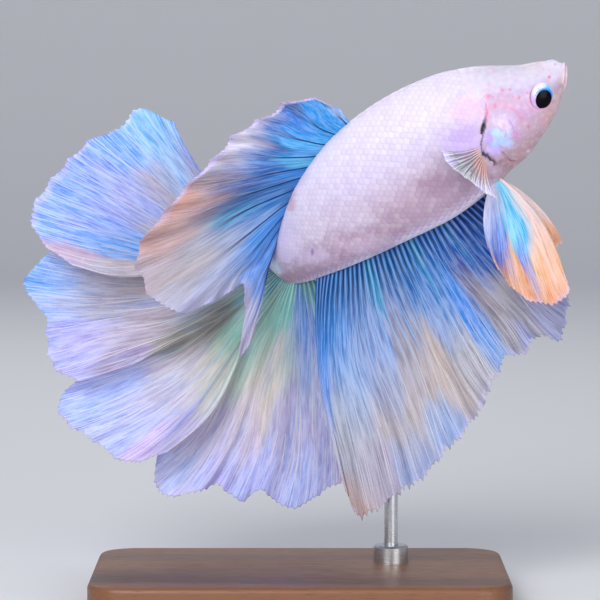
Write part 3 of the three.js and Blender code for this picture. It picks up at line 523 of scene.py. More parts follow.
def line_distance(places, line):
    """How far [x, z] places lie behind a smooth line, less than 0 ahead of it, and how far along."""
    knots = smooth_line(line)(np.linspace(0, 1, 25))
    best = np.full(len(places), np.inf)
    along, side = np.zeros(len(places)), np.zeros(len(places))
    for i, (a, b) in enumerate(zip(knots[:-1], knots[1:])):
        edge = b - a
        offset = places - a
        x = np.clip(offset @ edge / (edge @ edge), 0, 1)
        gap = np.linalg.norm(offset - x[:, None] * edge, axis=1)
        near = gap < best
        best[near] = gap[near]
        along[near] = ((i + x) / (len(knots) - 1))[near]
        side[near] = np.sign(edge[0] * offset[:, 1] - edge[1] * offset[:, 0])[near]
    return np.where(side < 0, best, -best), along


def tinge(colours, tint, cover):
    """Mixes a tint into colours, in place, by each one's own share."""
    tint = linear(tint) if isinstance(tint, str) else np.array(tint)
    colours += (tint - colours) * cover[:, None]


def lay_marks(colours, places, marks, waver):
    """Lays marks over colours, in order; waver moves each mark's sides in and out."""
    for x, z, length, width, tint in marks:
        reach = np.hypot((places[:, 0] - x) / length, (places[:, 1] - z) / width)
        tinge(colours, tint, blend_between(1.25, 0.3, reach + waver))
    return colours


def melt_marks(ground, places, marks, along, drift):
    """Colours in which the marks melt into one another, each drawn out along its rays.

    drift is how far the markings stray along and across the rays at each place."""
    ground_weight = 0.04  # the ground shows only where no mark is near
    total = np.full(len(places), ground_weight)
    colours = ground * ground_weight
    for x, z, length, width, tint in marks:
        offset = places - np.array([x, z])
        run = (offset * along).sum(1) + drift[0]
        across = offset[:, 0] * along[:, 1] - offset[:, 1] * along[:, 0] + drift[1]
        reach = (run / (1.25 * length)) ** 2 + (across / (1.25 * width)) ** 2
        weight = np.exp(-0.7 * reach ** 2)
        total += weight
        colours += weight[:, None] * linear(tint)
    return colours / total[:, None]


# ---------------------------------------------------------------- the body's surface


back_height, belly_height, half_width = smooth(BACK), smooth(BELLY), smooth(HALF_WIDTH)


def section(t):
    """Centre, way to the tail, up and sideways directions of the sections at t."""
    t = np.asarray(t, float)[..., None]
    s = 1 - t
    a, b, c, d = AXIS
    centre = s ** 3 * a + 3 * s * s * t * b + 3 * s * t * t * c + t ** 3 * d
    tail = unit(s * s * (b - a) + 2 * s * t * (c - b) + t * t * (d - c))
    tilt = SNOUT_TILT * np.maximum(1 - t[..., 0] / TILT_ENDS, 0) ** 2
    flat = unit(np.stack([tail[..., 2], np.zeros_like(tilt), -tail[..., 0]], axis=-1))
    up = np.stack([flat[..., 0] * np.cos(tilt) + flat[..., 2] * np.sin(tilt), np.zeros_like(tilt),
                   flat[..., 2] * np.cos(tilt) - flat[..., 0] * np.sin(tilt)], axis=-1)
    return centre, tail, up, unit(np.cross(up, tail))


def taper(c):
    """How the sections narrow towards the back, where c, the angle's cosine, is 1."""
    return 1 - 0.1 * np.maximum(c, 0) ** 2


def body_point(t, angle, inflate=0.0):
    """A point on the body: angle 0 is the back, 90 degrees the right flank, 180 the belly."""
    centre, _, up, side = section(t)
    c = np.cos(angle)
    height = np.where(c > 0, back_height(t)[..., 0], belly_height(t)[..., 0]) + inflate
    width = (half_width(t)[..., 0] + inflate) * np.sin(angle) * taper(c)
    return centre + up * (height * c)[..., None] + side * width[..., None]


def flank_width(x, z):
    """Half the body's width at points of the XZ plane, ahead of where the body swings away."""
    x, z = np.broadcast_arrays(np.asarray(x, float), np.asarray(z, float))
    front, rear = np.zeros(x.shape), np.full(x.shape, 0.6)
    for _ in range(30):
        t = (front + rear) / 2
        centre, _, up, _ = section(t)
        behind = (x - centre[..., 0]) * up[..., 2] - (z - centre[..., 2]) * up[..., 0] > 0
        rear, front = np.where(behind, t, rear), np.where(behind, front, t)
    centre, _, up, _ = section(front)
    height = (x - centre[..., 0]) * up[..., 0] + (z - centre[..., 2]) * up[..., 2]
    c = height / np.where(height > 0, back_height(front)[..., 0], belly_height(front)[..., 0])
    return half_width(front)[..., 0] * np.sqrt(np.maximum(1 - c * c, 0)) * taper(c)


def skin_colour(points, height_share):
    """The fish's markings at body points, over a ground whose darker lower flank is partly painted shade;
    height_share is 1 on the back and -1 on the belly.
    """
    places = points[:, [0, 2]]
    colours = ramp(SKIN_TONE_AND_SHADE, height_share)
    waver = 0.3 * noise(points[:, 0] * 1.9, points[:, 2] * 1.9, seed=4)
    waver += 0.2 * noise(points[:, 0] * 5.3, points[:, 2] * 5.3, seed=6)
    return lay_marks(colours, places, SKIN_MARKS, waver)


# ---------------------------------------------------------------- meshes and nodes


def add_node(tree, kind, inputs=None, **settings):
    """Adds a node with its settings. An input is a value, a hex colour, or the socket or node that
    feeds it; a node feeds it from the first of its outputs that is in use."""
    made = tree.nodes.new(kind)
    for key, value in settings.items():
        setattr(made, key, value)
    for key, value in (inputs or {}).items():
        socket = made.inputs[key]
        if isinstance(value, bpy.types.Node):
            value = next(output for output in value.outputs if output.enabled)
        if isinstance(value, bpy.types.NodeSocket):
            tree.links.new(value, socket)
        elif socket.type == "RGBA":
            socket.default_value = (*(linear(value) if isinstance(value, str) else value), 1.0)
        else:
            socket.default_value = value
    return made


def outward(points, faces):
    """The faces, turned over if the closed mesh they make is inside out."""
    quads = points[faces]
    volume = np.einsum("ij,ij->i", quads[:, 0], np.cross(quads[:, 1], quads[:, 2])).sum()
    volume += np.einsum("ij,ij->i", quads[:, 0], np.cross(quads[:, 2], quads[:, -1])).sum()
    return faces if volume > 0 else faces[:, ::-1]


def paint(mesh, colours):
    """Keeps a linear colour on each point of a mesh, for its material."""
    opaque = np.column_stack([np.clip(colours, 0, 1), np.ones(len(colours))])
    layer = mesh.attributes.new("tint", "FLOAT_COLOR", "POINT")
    layer.data.foreach_set("color", opaque.astype(np.float32).ravel())


def unwrap(mesh, name, uv):
    """Gives a mesh a UV map from one place for each of its points."""
    corners = np.empty(len(mesh.loops), np.int32)
    mesh.loops.foreach_get("vertex_index", corners)
    layer = mesh.uv_layers.new(name=name)
    layer.data.foreach_set("uv", uv[corners].astype(np.float32).ravel())


def read_vectors(items, field):
    """A vector of each item of a mesh, as rows."""
    values = np.empty(len(items) * 3, np.float32)
    items.foreach_get(field, values)
    return values.reshape(-1, 3)


def mesh_piece(name, points, faces=(), edges=(), material=None, uv=None, tint=None, kept=None):
    """A smooth-shaded object at the origin from points in mm. uv is a map's name and its places,
    and kept holds further numbers or vectors for each point, by name."""
    mesh = bpy.data.meshes.new(name)
    mesh.from_pydata((points * MM).tolist(), edges, [list(map(int, face)) for face in faces])
    mesh.shade_smooth()
    if uv is not None:
        unwrap(mesh, *uv)
    if tint is not None:
        paint(mesh, tint)
    for key, values in (kept or {}).items():
        kind, field = ("FLOAT", "value") if values.ndim == 1 else ("FLOAT_VECTOR", "vector")
        layer = mesh.attributes.new(key, kind, "POINT")
        layer.data.foreach_set(field, values.astype(np.float32).ravel())
    piece = bpy.data.objects.new(name, mesh)
    bpy.context.scene.collection.objects.link(piece)
    if material is not None:
        mesh.materials.append(material)
    return piece


def tube_faces(rings, around):
    """Quads between closed rings of points, one ring after another."""
    i, j = np.meshgrid(np.arange(rings - 1), np.arange(around), indexing="ij")
    i, j = i.ravel(), j.ravel()
    k = (j + 1) % around
    return np.column_stack([i * around + j, (i + 1) * around + j, (i + 1) * around + k, i * around + k])


def ball_faces(points, rings, around):
    """Faces of closed rings of points whose first and last close on the last two points."""
    rear = (rings - 1) * around
    j = np.arange(around)
    k = (j + 1) % around
    fans = np.vstack([np.column_stack([np.full(around, rings * around), j, k, k]),
                      np.column_stack([np.full(around, rings * around + 1), rear + k, rear + j, rear + j])])
    turned = outward(points, np.vstack([tube_faces(rings, around), fans]))
    triangles = [list(dict.fromkeys(face)) for face in turned[-len(fans):].tolist()]
    return turned[:-len(fans)].tolist() + triangles


def lidded_piece(name, rings, material):
    """A closed piece from rings of points, with a flat lid on the first and the last of them."""
    around = len(rings[0])
    points = np.vstack(rings)
    faces = outward(points, tube_faces(len(rings), around)).tolist()
    faces += [list(range(len(points) - around, len(points))), list(range(around))[::-1]]
    piece = mesh_piece(name, points, faces, material=material)
    piece.data.set_sharp_from_angle(angle=math.radians(35))
    return piece


def settle(piece, slot, *nodes):
    """Puts a finished piece on the model: on the body it rides on, in place of its solids; slot is not used.
    """
    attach(piece, BODY)
    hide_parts(*nodes)
    return piece


def apply_tree(piece, tree, inputs):
    """Runs a geometry tree on a piece and keeps the result as its plain mesh."""
    modifier = piece.modifiers.new(tree.name, "NODES")
    modifier.node_group = tree
    sockets = {s.name: s.identifier for s in tree.interface.items_tree
               if s.item_type == "SOCKET" and s.in_out == "INPUT"}
    for name, value in inputs.items():
        modifier[sockets[name]] = value
    bpy.context.view_layer.update()
    graph = bpy.context.evaluated_depsgraph_get()
    plain = bpy.data.meshes.new_from_object(piece.evaluated_get(graph), preserve_all_data_layers=True,
                                            depsgraph=graph)
    piece.modifiers.clear()
    before = piece.data
    piece.data = plain
    bpy.data.meshes.remove(before)
    plain.name = piece.name
    if plain.materials[0] is None:
        plain.materials.pop(index=0)
    return piece


def new_tree(name, inputs):
    """A geometry tree with named inputs, given as (name, socket kind, default)."""
    tree = bpy.data.node_groups.new(name, "GeometryNodeTree")
    tree.interface.new_socket("Geometry", in_out="INPUT", socket_type="NodeSocketGeometry")
    for label, kind, default in inputs:
        socket = tree.interface.new_socket(label, in_out="INPUT", socket_type=kind)
        if default is not None:
            socket.default_value = default
    tree.interface.new_socket("Geometry", in_out="OUTPUT", socket_type="NodeSocketGeometry")
    return tree


# ---------------------------------------------------------------- materials


def new_material(name):
    """An empty node material and its tree."""
    material = bpy.data.materials.new(name)
    material.use_nodes = True
    material.node_tree.nodes.clear()
    return material, material.node_tree


def lay_tint(tree, ground, tint, pattern, low, high, most=1.0, blend="MIX"):
    """Lays a tint over the ground colour: none where the pattern is low, the most where it is high."""
    cover = add_node(tree, "ShaderNodeMapRange", {"Value": pattern, "From Min": low, "From Max": high,
                                                  "To Max": most}, interpolation_type="SMOOTHSTEP")
    return add_node(tree, "ShaderNodeMix", {0: cover, 6: ground, 7: tint}, data_type="RGBA", blend_type=blend)


def skin_material():
    """Living skin under a thin coat of slime: soft and pearly, with a wet shine over it."""
    material, tree = new_material("wet_pearly_skin")
    tint = add_node(tree, "ShaderNodeAttribute", attribute_name="tint")
    place = add_node(tree, "ShaderNodeTexCoord").outputs["Object"]
    # cloudy pigment, about 0.7 mm across, so that no stretch of skin is one flat tone
    cloud = add_node(tree, "ShaderNodeTexNoise", {"Vector": place, "Scale": 1 / (0.7 * MM), "Detail": 3.0})
    # blood showing through the thin skin in flecks about 1.6 mm apart
    blood = add_node(tree, "ShaderNodeTexNoise", {"Vector": place, "Scale": 1 / (1.6 * MM), "Detail": 5.0,
                                                  "Roughness": 0.62})
    # pores and minute folds, 0.12 mm across
    pores = add_node(tree, "ShaderNodeTexNoise", {"Vector": place, "Scale": 1 / (0.12 * MM), "Detail": 2.0})
    flushed = lay_tint(tree, tint, "#E08CB4", blood, 0.54, 0.7, 0.32)
    pale = lay_tint(tree, flushed, "#FBF6FF", cloud, 0.48, 0.75, 0.16)
    shaded = lay_tint(tree, pale, "#A98CC8", cloud, 0.46, 0.26, 0.22)
    # the cloud and flecks stay out of the deep slits, whose painted shade stays dark
    light = add_node(tree, "ShaderNodeRGBToBW", {"Color": tint})
    shaded = lay_tint(tree, tint, shaded, light, 0.03, 0.2)
    bump = add_node(tree, "ShaderNodeBump", {"Height": pores, "Strength": 0.25, "Distance": 0.03 * MM})
    wetness = add_node(tree, "ShaderNodeMapRange", {"Value": cloud, "From Min": 0.3, "From Max": 0.7,
                                                    "To Min": 0.46, "To Max": 0.34})
    skin = add_node(tree, "ShaderNodeBsdfPrincipled", {
        "Base Color": shaded, "Normal": bump, "Roughness": wetness, "IOR": 1.38, "Coat Weight": 0.25,
        "Coat Roughness": 0.18, "Subsurface Weight": 0.12, "Subsurface Scale": 0.8 * MM,
        "Subsurface Radius": (1.0, 0.45, 0.4)})
    add_node(tree, "ShaderNodeOutputMaterial", {"Surface": skin})
    return material


def scale_material():
    """Guanine-backed fish scales: thin and pearly, with a faint lilac shadow round each."""
    edge = bpy.context.scene.betta_skin.scale_groove_shade
    material, tree = new_material("pearly_scales")
    tint = add_node(tree, "ShaderNodeAttribute", attribute_name="tint")
    local = add_node(tree, "ShaderNodeAttribute", attribute_name="scale_place").outputs["Vector"]
    flat = add_node(tree, "ShaderNodeVectorMath", {0: local, 1: (1.0, 1.0, 0.0)}, operation="MULTIPLY")
    radius = add_node(tree, "ShaderNodeVectorMath", {0: flat}, operation="LENGTH")
    tone = add_node(tree, "ShaderNodeAttribute", attribute_name="tone").outputs["Fac"]
    # painted shade darkens each plate towards its rim, in the groove round it
    groove_shaded = lay_tint(tree, tint, edge, radius, 0.55, 1.0, 0.2, "MULTIPLY")
    varied = lay_tint(tree, groove_shaded, "#FFFFFF", tone, 0.45, 1.0, 0.08)
    dusky = lay_tint(tree, varied, edge, tone, 0.4, 0.0, 0.1, "MULTIPLY")
    gloss = add_node(tree, "ShaderNodeMapRange", {"Value": tone, "To Min": 0.52, "To Max": 0.42})
    scale = add_node(tree, "ShaderNodeBsdfPrincipled", {
        "Base Color": dusky, "Roughness": gloss, "IOR": 1.45, "Coat Weight": 0.12, "Coat Roughness": 0.3})
    add_node(tree, "ShaderNodeOutputMaterial", {"Surface": scale})
    return material


def web_material(name, fin):
    """Fin web: a film of skin over fine fibres that run with the rays. The fibres catch the light
    as pale, sky-blue and deep streaks, and light passes through the film, so that it glows."""
    settings = bpy.context.scene.betta_fins
    pale_share, deep_share, blue_share, comb_shade_share = fin["streaks"]
    material, tree = new_material(name)
    tint = add_node(tree, "ShaderNodeAttribute", attribute_name="tint")
    place = add_node(tree, "ShaderNodeUVMap", uv_map="RayPlace")

    def fibres(per_ray, length, shift):
        """Noise drawn out along the rays: so many strands for each ray, each length mm long."""
        drawn = add_node(tree, "ShaderNodeMapping", {"Vector": place, "Location": (shift, 0.3 * shift, 0.0),
                                                     "Scale": (per_ray * fin["strands"], 1 / length, 1.0)})
        return add_node(tree, "ShaderNodeTexNoise", {"Vector": drawn, "Scale": 1.0, "Detail": 2.0,
                                                     "Roughness": 0.55}, noise_dimensions="2D")

    broad, middle = fibres(1.1, 8.0, 3.1), fibres(2.8, 5.0, 7.7)
    fine, finest = fibres(6.5, 3.0, 1.9), fibres(15.0, 2.2, 5.3)
    deeper = add_node(tree, "ShaderNodeHueSaturation", {"Color": tint, "Saturation": 1.35, "Value": 0.72})
    lighter = add_node(tree, "ShaderNodeHueSaturation", {"Color": tint, "Hue": 0.485, "Saturation": 0.84,
                                                         "Value": 1.22})
    paler = add_node(tree, "ShaderNodeMix", {0: 0.2, 6: lighter, 7: settings.pale}, data_type="RGBA")
    seen = tint
    for shade, strands, low, high, most in (
            (settings.blue, broad, 0.5, 0.64, blue_share),
            (settings.rosy, broad, 0.46, 0.34, 0.7 * blue_share),
            (deeper, middle, 0.47, 0.32, deep_share), (paler, middle, 0.53, 0.68, 0.8 * pale_share),
            (paler, fine, 0.5, 0.62, pale_share), (deeper, fine, 0.46, 0.34, deep_share),
            (paler, finest, 0.5, 0.64, 0.7 * pale_share)):
        seen = lay_tint(tree, seen, shade, strands, low, high, most)
    parts = add_node(tree, "ShaderNodeSeparateXYZ", {"Vector": place}).outputs
    if comb_shade_share:
        # painted shade beside the body: the web is darkened between its rays, like the gaps of a comb
        step = add_node(tree, "ShaderNodeMath", {0: parts["X"]}, operation="FRACT")
        middling = add_node(tree, "ShaderNodeMath", {0: step, 1: 0.5}, operation="SUBTRACT")
        off_ray = add_node(tree, "ShaderNodeMath", {0: middling}, operation="ABSOLUTE")
        deepest = add_node(tree, "ShaderNodeHueSaturation", {"Color": tint, "Saturation": 1.35,
                                                             "Value": 0.26})
        combed = lay_tint(tree, seen, deepest, off_ray, 0.16, 0.4, comb_shade_share)
        seen = lay_tint(tree, combed, seen, parts["Y"], 1.5, 7.0)
    ridges = add_node(tree, "ShaderNodeMath", {0: middle, 1: fine}, operation="ADD")
    bump = add_node(tree, "ShaderNodeBump", {"Height": ridges, "Strength": 0.55, "Distance": 0.1 * MM})
    film = add_node(tree, "ShaderNodeBsdfPrincipled", {
        "Base Color": seen, "Normal": bump, "IOR": 1.38, "Roughness": 0.5, "Specular IOR Level": 0.14})
    through = add_node(tree, "ShaderNodeBsdfTranslucent", {"Color": seen, "Normal": bump})
    mixed = add_node(tree, "ShaderNodeMixShader", {0: settings.glow, 1: film, 2: through})
    if fin["clear"]:
        # the film is glass-clear between its rays as far out as its milky band
        opening = add_node(tree, "ShaderNodeBsdfTransparent")
        unseen = add_node(tree, "ShaderNodeMapRange", {
            "Value": parts["Y"], "From Min": 0.72 * fin["clear"], "From Max": 0.86 * fin["clear"],
            "To Min": 0.7, "To Max": 0.05})
        mixed = add_node(tree, "ShaderNodeMixShader", {0: unseen, 1: mixed, 2: opening})
    add_node(tree, "ShaderNodeOutputMaterial", {"Surface": mixed})
    return material


def ray_material(name):
    """Fin rays: soft jointed bone in skin, glossier than the web, with joints 0.7 mm apart."""
    material, tree = new_material(name)
    tint = add_node(tree, "ShaderNodeAttribute", attribute_name="tint")
    along = add_node(tree, "ShaderNodeAttribute", attribute_name="ray_place").outputs["Vector"]
    joints = add_node(tree, "ShaderNodeTexWave", {"Vector": along, "Scale": WAVE_STEP / 0.691,
                                                  "Distortion": 2.5, "Detail Scale": 2.0},
                      wave_type="BANDS", bands_direction="X").outputs["Fac"]
    jointed = lay_tint(tree, tint, "#7C86C8", joints, 0.25, 0.0, 0.08, "MULTIPLY")
    ray = add_node(tree, "ShaderNodeBsdfPrincipled", {"Base Color": jointed, "IOR": 1.4, "Roughness": 0.4,
                                                      "Specular IOR Level": 0.25})
    through = add_node(tree, "ShaderNodeBsdfTranslucent", {"Color": jointed})
    mixed = add_node(tree, "ShaderNodeMixShader", {0: bpy.context.scene.betta_fins.glow, 1: ray, 2: through})
    add_node(tree, "ShaderNodeOutputMaterial", {"Surface": mixed})
    return material


def eye_material():
    """A wet cornea over a metallic iris: a black pupil, blue light above it and a pearly rear."""
    settings = bpy.context.scene.betta_eyes
    material, tree = new_material("wet_metallic_eye")
    gaze = add_node(tree, "ShaderNodeAttribute", attribute_name="gaze").outputs["Vector"]
    parts = add_node(tree, "ShaderNodeSeparateXYZ", {"Vector": gaze}).outputs
    wide = settings.pupil
    # the pupil is a little wider than tall, and sits ahead of the eye's middle and below it
    pupil_place = add_node(tree, "ShaderNodeMapping", {
        "Vector": gaze, "Location": (-0.2 / wide, 0.24 / wide, 0.0),
        "Scale": (1 / wide, 1 / (0.92 * wide), 0.0)})
    from_pupil = add_node(tree, "ShaderNodeVectorMath", {0: pupil_place}, operation="LENGTH")
    flat = add_node(tree, "ShaderNodeVectorMath", {0: gaze, 1: (1.0, 1.0, 0.0)}, operation="MULTIPLY")
    from_middle = add_node(tree, "ShaderNodeVectorMath", {0: flat}, operation="LENGTH")
    specks = add_node(tree, "ShaderNodeTexNoise", {"Vector": gaze, "Scale": 9.0, "Detail": 3.0})
    iris = lay_tint(tree, settings.rear, settings.upper, parts["X"], -0.35, 0.35)
    iris = lay_tint(tree, iris, settings.lower, parts["Y"], 0.15, -0.5)
    iris = lay_tint(tree, iris, "#3F62B8", specks, 0.57, 0.7, 0.7)
    iris = lay_tint(tree, iris, settings.rim, from_middle, 0.68, 0.93, 0.9)
    ringed = lay_tint(tree, iris, "#1E7CDC", from_pupil, 1.4, 1.04)
    iris = lay_tint(tree, iris, ringed, parts["Y"], -0.3, 0.3)
    seen = lay_tint(tree, iris, settings.pupil_colour, from_pupil, 1.06, 0.98)
    eye = add_node(tree, "ShaderNodeBsdfPrincipled", {
        "Base Color": seen, "IOR": 1.33, "Roughness": 0.3, "Specular IOR Level": 0.1, "Coat Weight": 0.15,
        "Coat Roughness": 0.02, "Coat IOR": 1.33})
    add_node(tree, "ShaderNodeOutputMaterial", {"Surface": eye})
    return material


def walnut_material():
    """Oiled walnut board: brown, with darker growth rings along X and fine open pores."""
    settings = bpy.context.scene.betta_stand
    material, tree = new_material("oiled_walnut")
    place = add_node(tree, "ShaderNodeTexCoord").outputs["Object"]
    drawn = add_node(tree, "ShaderNodeMapping", {"Vector": place, "Scale": (0.06, 1.0, 1.0)})
    warp = add_node(tree, "ShaderNodeTexNoise", {"Vector": drawn, "Scale": 1 / (9 * MM), "Detail": 4.0})
    # growth rings 14 mm apart, which the board's figure bends and squeezes
    rings = add_node(tree, "ShaderNodeTexWave", {"Vector": drawn, "Scale": WAVE_STEP / (13.82 * MM),
                                                 "Distortion": 9.0, "Detail": 3.0, "Detail Scale": 1.5},
                     wave_type="BANDS", bands_direction="Y").outputs["Fac"]
    # open pores 0.15 mm wide and drawn out along the grain
    pores = add_node(tree, "ShaderNodeTexNoise", {"Vector": drawn, "Scale": 1 / (0.15 * MM), "Detail": 2.0})
    board = lay_tint(tree, settings.wood_light, settings.wood_dark, rings, 0.2, 0.9, 0.8)
    board = lay_tint(tree, board, settings.wood_light, warp, 0.35, 0.7, 0.5)
    board = lay_tint(tree, board, settings.wood_dark, pores, 0.42, 0.3, 0.55)
    bump = add_node(tree, "ShaderNodeBump", {"Height": pores, "Strength": 0.3, "Distance": 0.05 * MM})
    dullness = add_node(tree, "ShaderNodeMapRange", {"Value": pores, "From Min": 0.3, "From Max": 0.6,
                                                     "To Min": 0.6, "To Max": 0.42})
    wood = add_node(tree, "ShaderNodeBsdfPrincipled", {
        "Base Color": board, "Normal": bump, "Roughness": dullness, "Coat Weight": 0.2,
        "Coat Roughness": 0.3})
    add_node(tree, "ShaderNodeOutputMaterial", {"Surface": wood})
    return material


def steel_material():
    """Brushed stainless steel: fine scratches run round the rod and spread its highlight."""
    material, tree = new_material("brushed_steel")
    place = add_node(tree, "ShaderNodeTexCoord").outputs["Object"]
    drawn = add_node(tree, "ShaderNodeMapping", {"Vector": place, "Scale": (0.04, 0.04, 1.0)})
    # brush marks 0.08 mm apart
    marks = add_node(tree, "ShaderNodeTexNoise", {"Vector": drawn, "Scale": 1 / (0.08 * MM), "Detail": 2.0})
    brushed = lay_tint(tree, bpy.context.scene.betta_stand.steel, "#8F9298", marks, 0.35, 0.65, 0.25)
    bump = add_node(tree, "ShaderNodeBump", {"Height": marks, "Strength": 0.15, "Distance": 0.01 * MM})
    spread_out = add_node(tree, "ShaderNodeMapRange", {"Value": marks, "From Min": 0.3, "From Max": 0.7,
                                                       "To Min": 0.24, "To Max": 0.38})
    steel = add_node(tree, "ShaderNodeBsdfPrincipled", {
        "Base Color": brushed, "Normal": bump, "Roughness": spread_out, "Metallic": 1.0})
    add_node(tree, "ShaderNodeOutputMaterial", {"Surface": steel})
    return material


# ---------------------------------------------------------------- skin


def eye_plane(places):
    """[x, z] places as forward and up distances from the eye's middle, along its leaning ways."""
    offset = places - np.array([EYE_X, EYE_Z])
    c, s = math.cos(EYE_LEAN), math.sin(EYE_LEAN)
    return np.column_stack([offset[:, 0] * c - offset[:, 1] * s, offset[:, 0] * s + offset[:, 1] * c])


def head_relief(points, normals, colours):
    """How far each head point moves out, in mm, and its colour after the head's own details."""
    settings = bpy.context.scene.betta_skin
    places = points[:, [0, 2]]
    lift = np.zeros(len(points))
    flank = blend_between(0.25, 0.7, np.abs(normals[:, 1]))

    for line, width, depth, tint in FURROWS:
        gap, along = line_distance(places, line)
        ends = blend_between(1.0, 0.8, along) * np.maximum(blend_between(0.0, 0.15, along),
                                                           blend_between(69, 70, places[:, 1]))
        ends = np.where(places[:, 0] > SNOUT_X, ends, ends * flank)
        lift += ends * depth * (0.35 * np.exp(-((np.abs(gap) - 2.4 * width) / (1.6 * width)) ** 2)
                                - np.exp(-(gap / width) ** 2))
        tinge(colours, tint, 0.5 * ends * np.exp(-(gap / (1.5 * width)) ** 2))

    # the gill cover's raised rim and the slit behind it, whose dark tint is painted shade
    behind, along = line_distance(places, GILL_EDGE)
    behind = behind + 0.11 * noise(places[:, 0] * 3.7, places[:, 1] * 3.7, seed=14)
    ends = blend_between(0.0, 0.25, along) * blend_between(1.0, 0.93, along) * flank
    lift += 0.3 * ends * np.exp(-np.maximum(-behind, 0) / 1.1) * blend_between(0.12, -0.12, behind)
    lift -= 0.42 * ends * np.exp(-np.maximum(behind, 0) / 0.4) * blend_between(-0.12, 0.12, behind)
    slit = ends * np.exp(-((behind - 0.2) / 0.25) ** 4) * blend_between(0.24, 0.38, along)
    flush = ends * np.exp(-((behind + 0.15) / 0.3) ** 2) * blend_between(0.5, 0.1, along)
    tinge(colours, "#F0829C", 0.5 * flush)
    tinge(colours, settings.gill_slit_shade, slit)

    # swollen nostrils near the top of the snout, each with a small opening tinted with painted shade
    for sign in SIDES.values():
        swell = np.linalg.norm(points - np.array([32.7, sign * 0.55, 69.9]), axis=1)
        lift += 0.3 * np.exp(-(swell / 0.66) ** 2)
        hole = np.linalg.norm(points - np.array([32.95, sign * 0.95, 69.6]), axis=1)
        lift -= 0.22 * np.exp(-(hole / 0.17) ** 2)
        tinge(colours, settings.nostril, 0.8 * np.exp(-(hole / 0.2) ** 2))

    # the socket: a soft lid round the eye and a well that the eyeball fills
    leaned = eye_plane(places)
    ring = np.hypot(leaned[:, 0] / 1.5, leaned[:, 1] / 1.84)
    on_side = blend_between(0.1, 0.4, np.abs(normals[:, 1]))
    lift += on_side * (0.05 * np.exp(-((ring - 1.08) / 0.18) ** 2) - 0.9 * blend_between(0.93, 0.72, ring))
    pink = on_side * np.exp(-((ring - 1.08) / 0.1) ** 2) * blend_between(0.9, -0.6, leaned[:, 1])
    tinge(colours, "#DCA0BC", 0.5 * pink)
    return lift, colours


def make_skin():
    """One closed skin over the whole fish, with its head's relief and its markings."""
    coat = bpy.context.scene.betta_skin.coat_depth / MM
    around, head_rings, trunk_rings, cap_rings, head_end = 224, 200, 130, 9, 0.28
    cap = np.linspace(1, 0, cap_rings, endpoint=False)[1:]
    t = np.concatenate([np.zeros(len(cap)), np.linspace(0, head_end, head_rings, endpoint=False),
                        np.linspace(head_end, 1, trunk_rings), np.ones(len(cap))])
    past = np.concatenate([-cap, np.zeros(head_rings + trunk_rings), cap[::-1]])
    scale = np.where(past < 0, (1 - np.abs(past) ** 2.5) ** 0.45, (1 - np.abs(past) ** 2) ** 0.5)
    shift = past * np.where(past < 0, SNOUT_CAP, TAIL_CAP)
    angle = np.linspace(0, 2 * np.pi, around, endpoint=False)
    ts, angles = np.meshgrid(t, angle, indexing="ij")
    # the skin lies under the scales on the trunk and rises over the first of them at the nape
    behind, _ = line_distance(body_point(ts, angles).reshape(-1, 3)[:, [0, 2]], NAPE)
    under = -coat * blend_between(0.0, 2.6, behind.reshape(ts.shape))
    centre, tail, _, _ = section(ts)
    points = body_point(ts, angles, under)
    points = centre + (points - centre) * scale[:, None, None] + tail * shift[:, None, None]

    along = np.gradient(points, axis=0)
    round_about = np.roll(points, -1, axis=1) - np.roll(points, 1, axis=1)
    normals = unit(np.cross(round_about, along))
    points, normals = points.reshape(-1, 3), normals.reshape(-1, 3)
    if ((points - centre.reshape(-1, 3)) * normals).sum() < 0:
        normals = -normals
    colours = skin_colour(points, np.cos(angles).ravel())
    on_head = points[:, 0] > HEAD_X
    lift, colours[on_head] = head_relief(points[on_head], normals[on_head], colours[on_head])
    points[on_head] += normals[on_head] * lift[:, None]

    ends = [section(0.0)[0] - section(0.0)[1] * SNOUT_CAP, section(1.0)[0] + section(1.0)[1] * TAIL_CAP]
    points = np.vstack([points, ends])
    uv = np.vstack([np.column_stack([ts.ravel(), angles.ravel() / (2 * np.pi)]), [[0, 0.5], [1, 0.5]]])
    skin = mesh_piece("skin", points, ball_faces(points, len(t), around), material=skin_material(),
                      uv=("SkinPlace", uv), tint=np.vstack([colours, colours[:1], colours[-1:]]))
    return settle(skin, "skin", "head", "lower_jaw", "gill_cover_right", "gill_cover_left", "trunk",
                  "tail_stalk")


# ---------------------------------------------------------------- scales


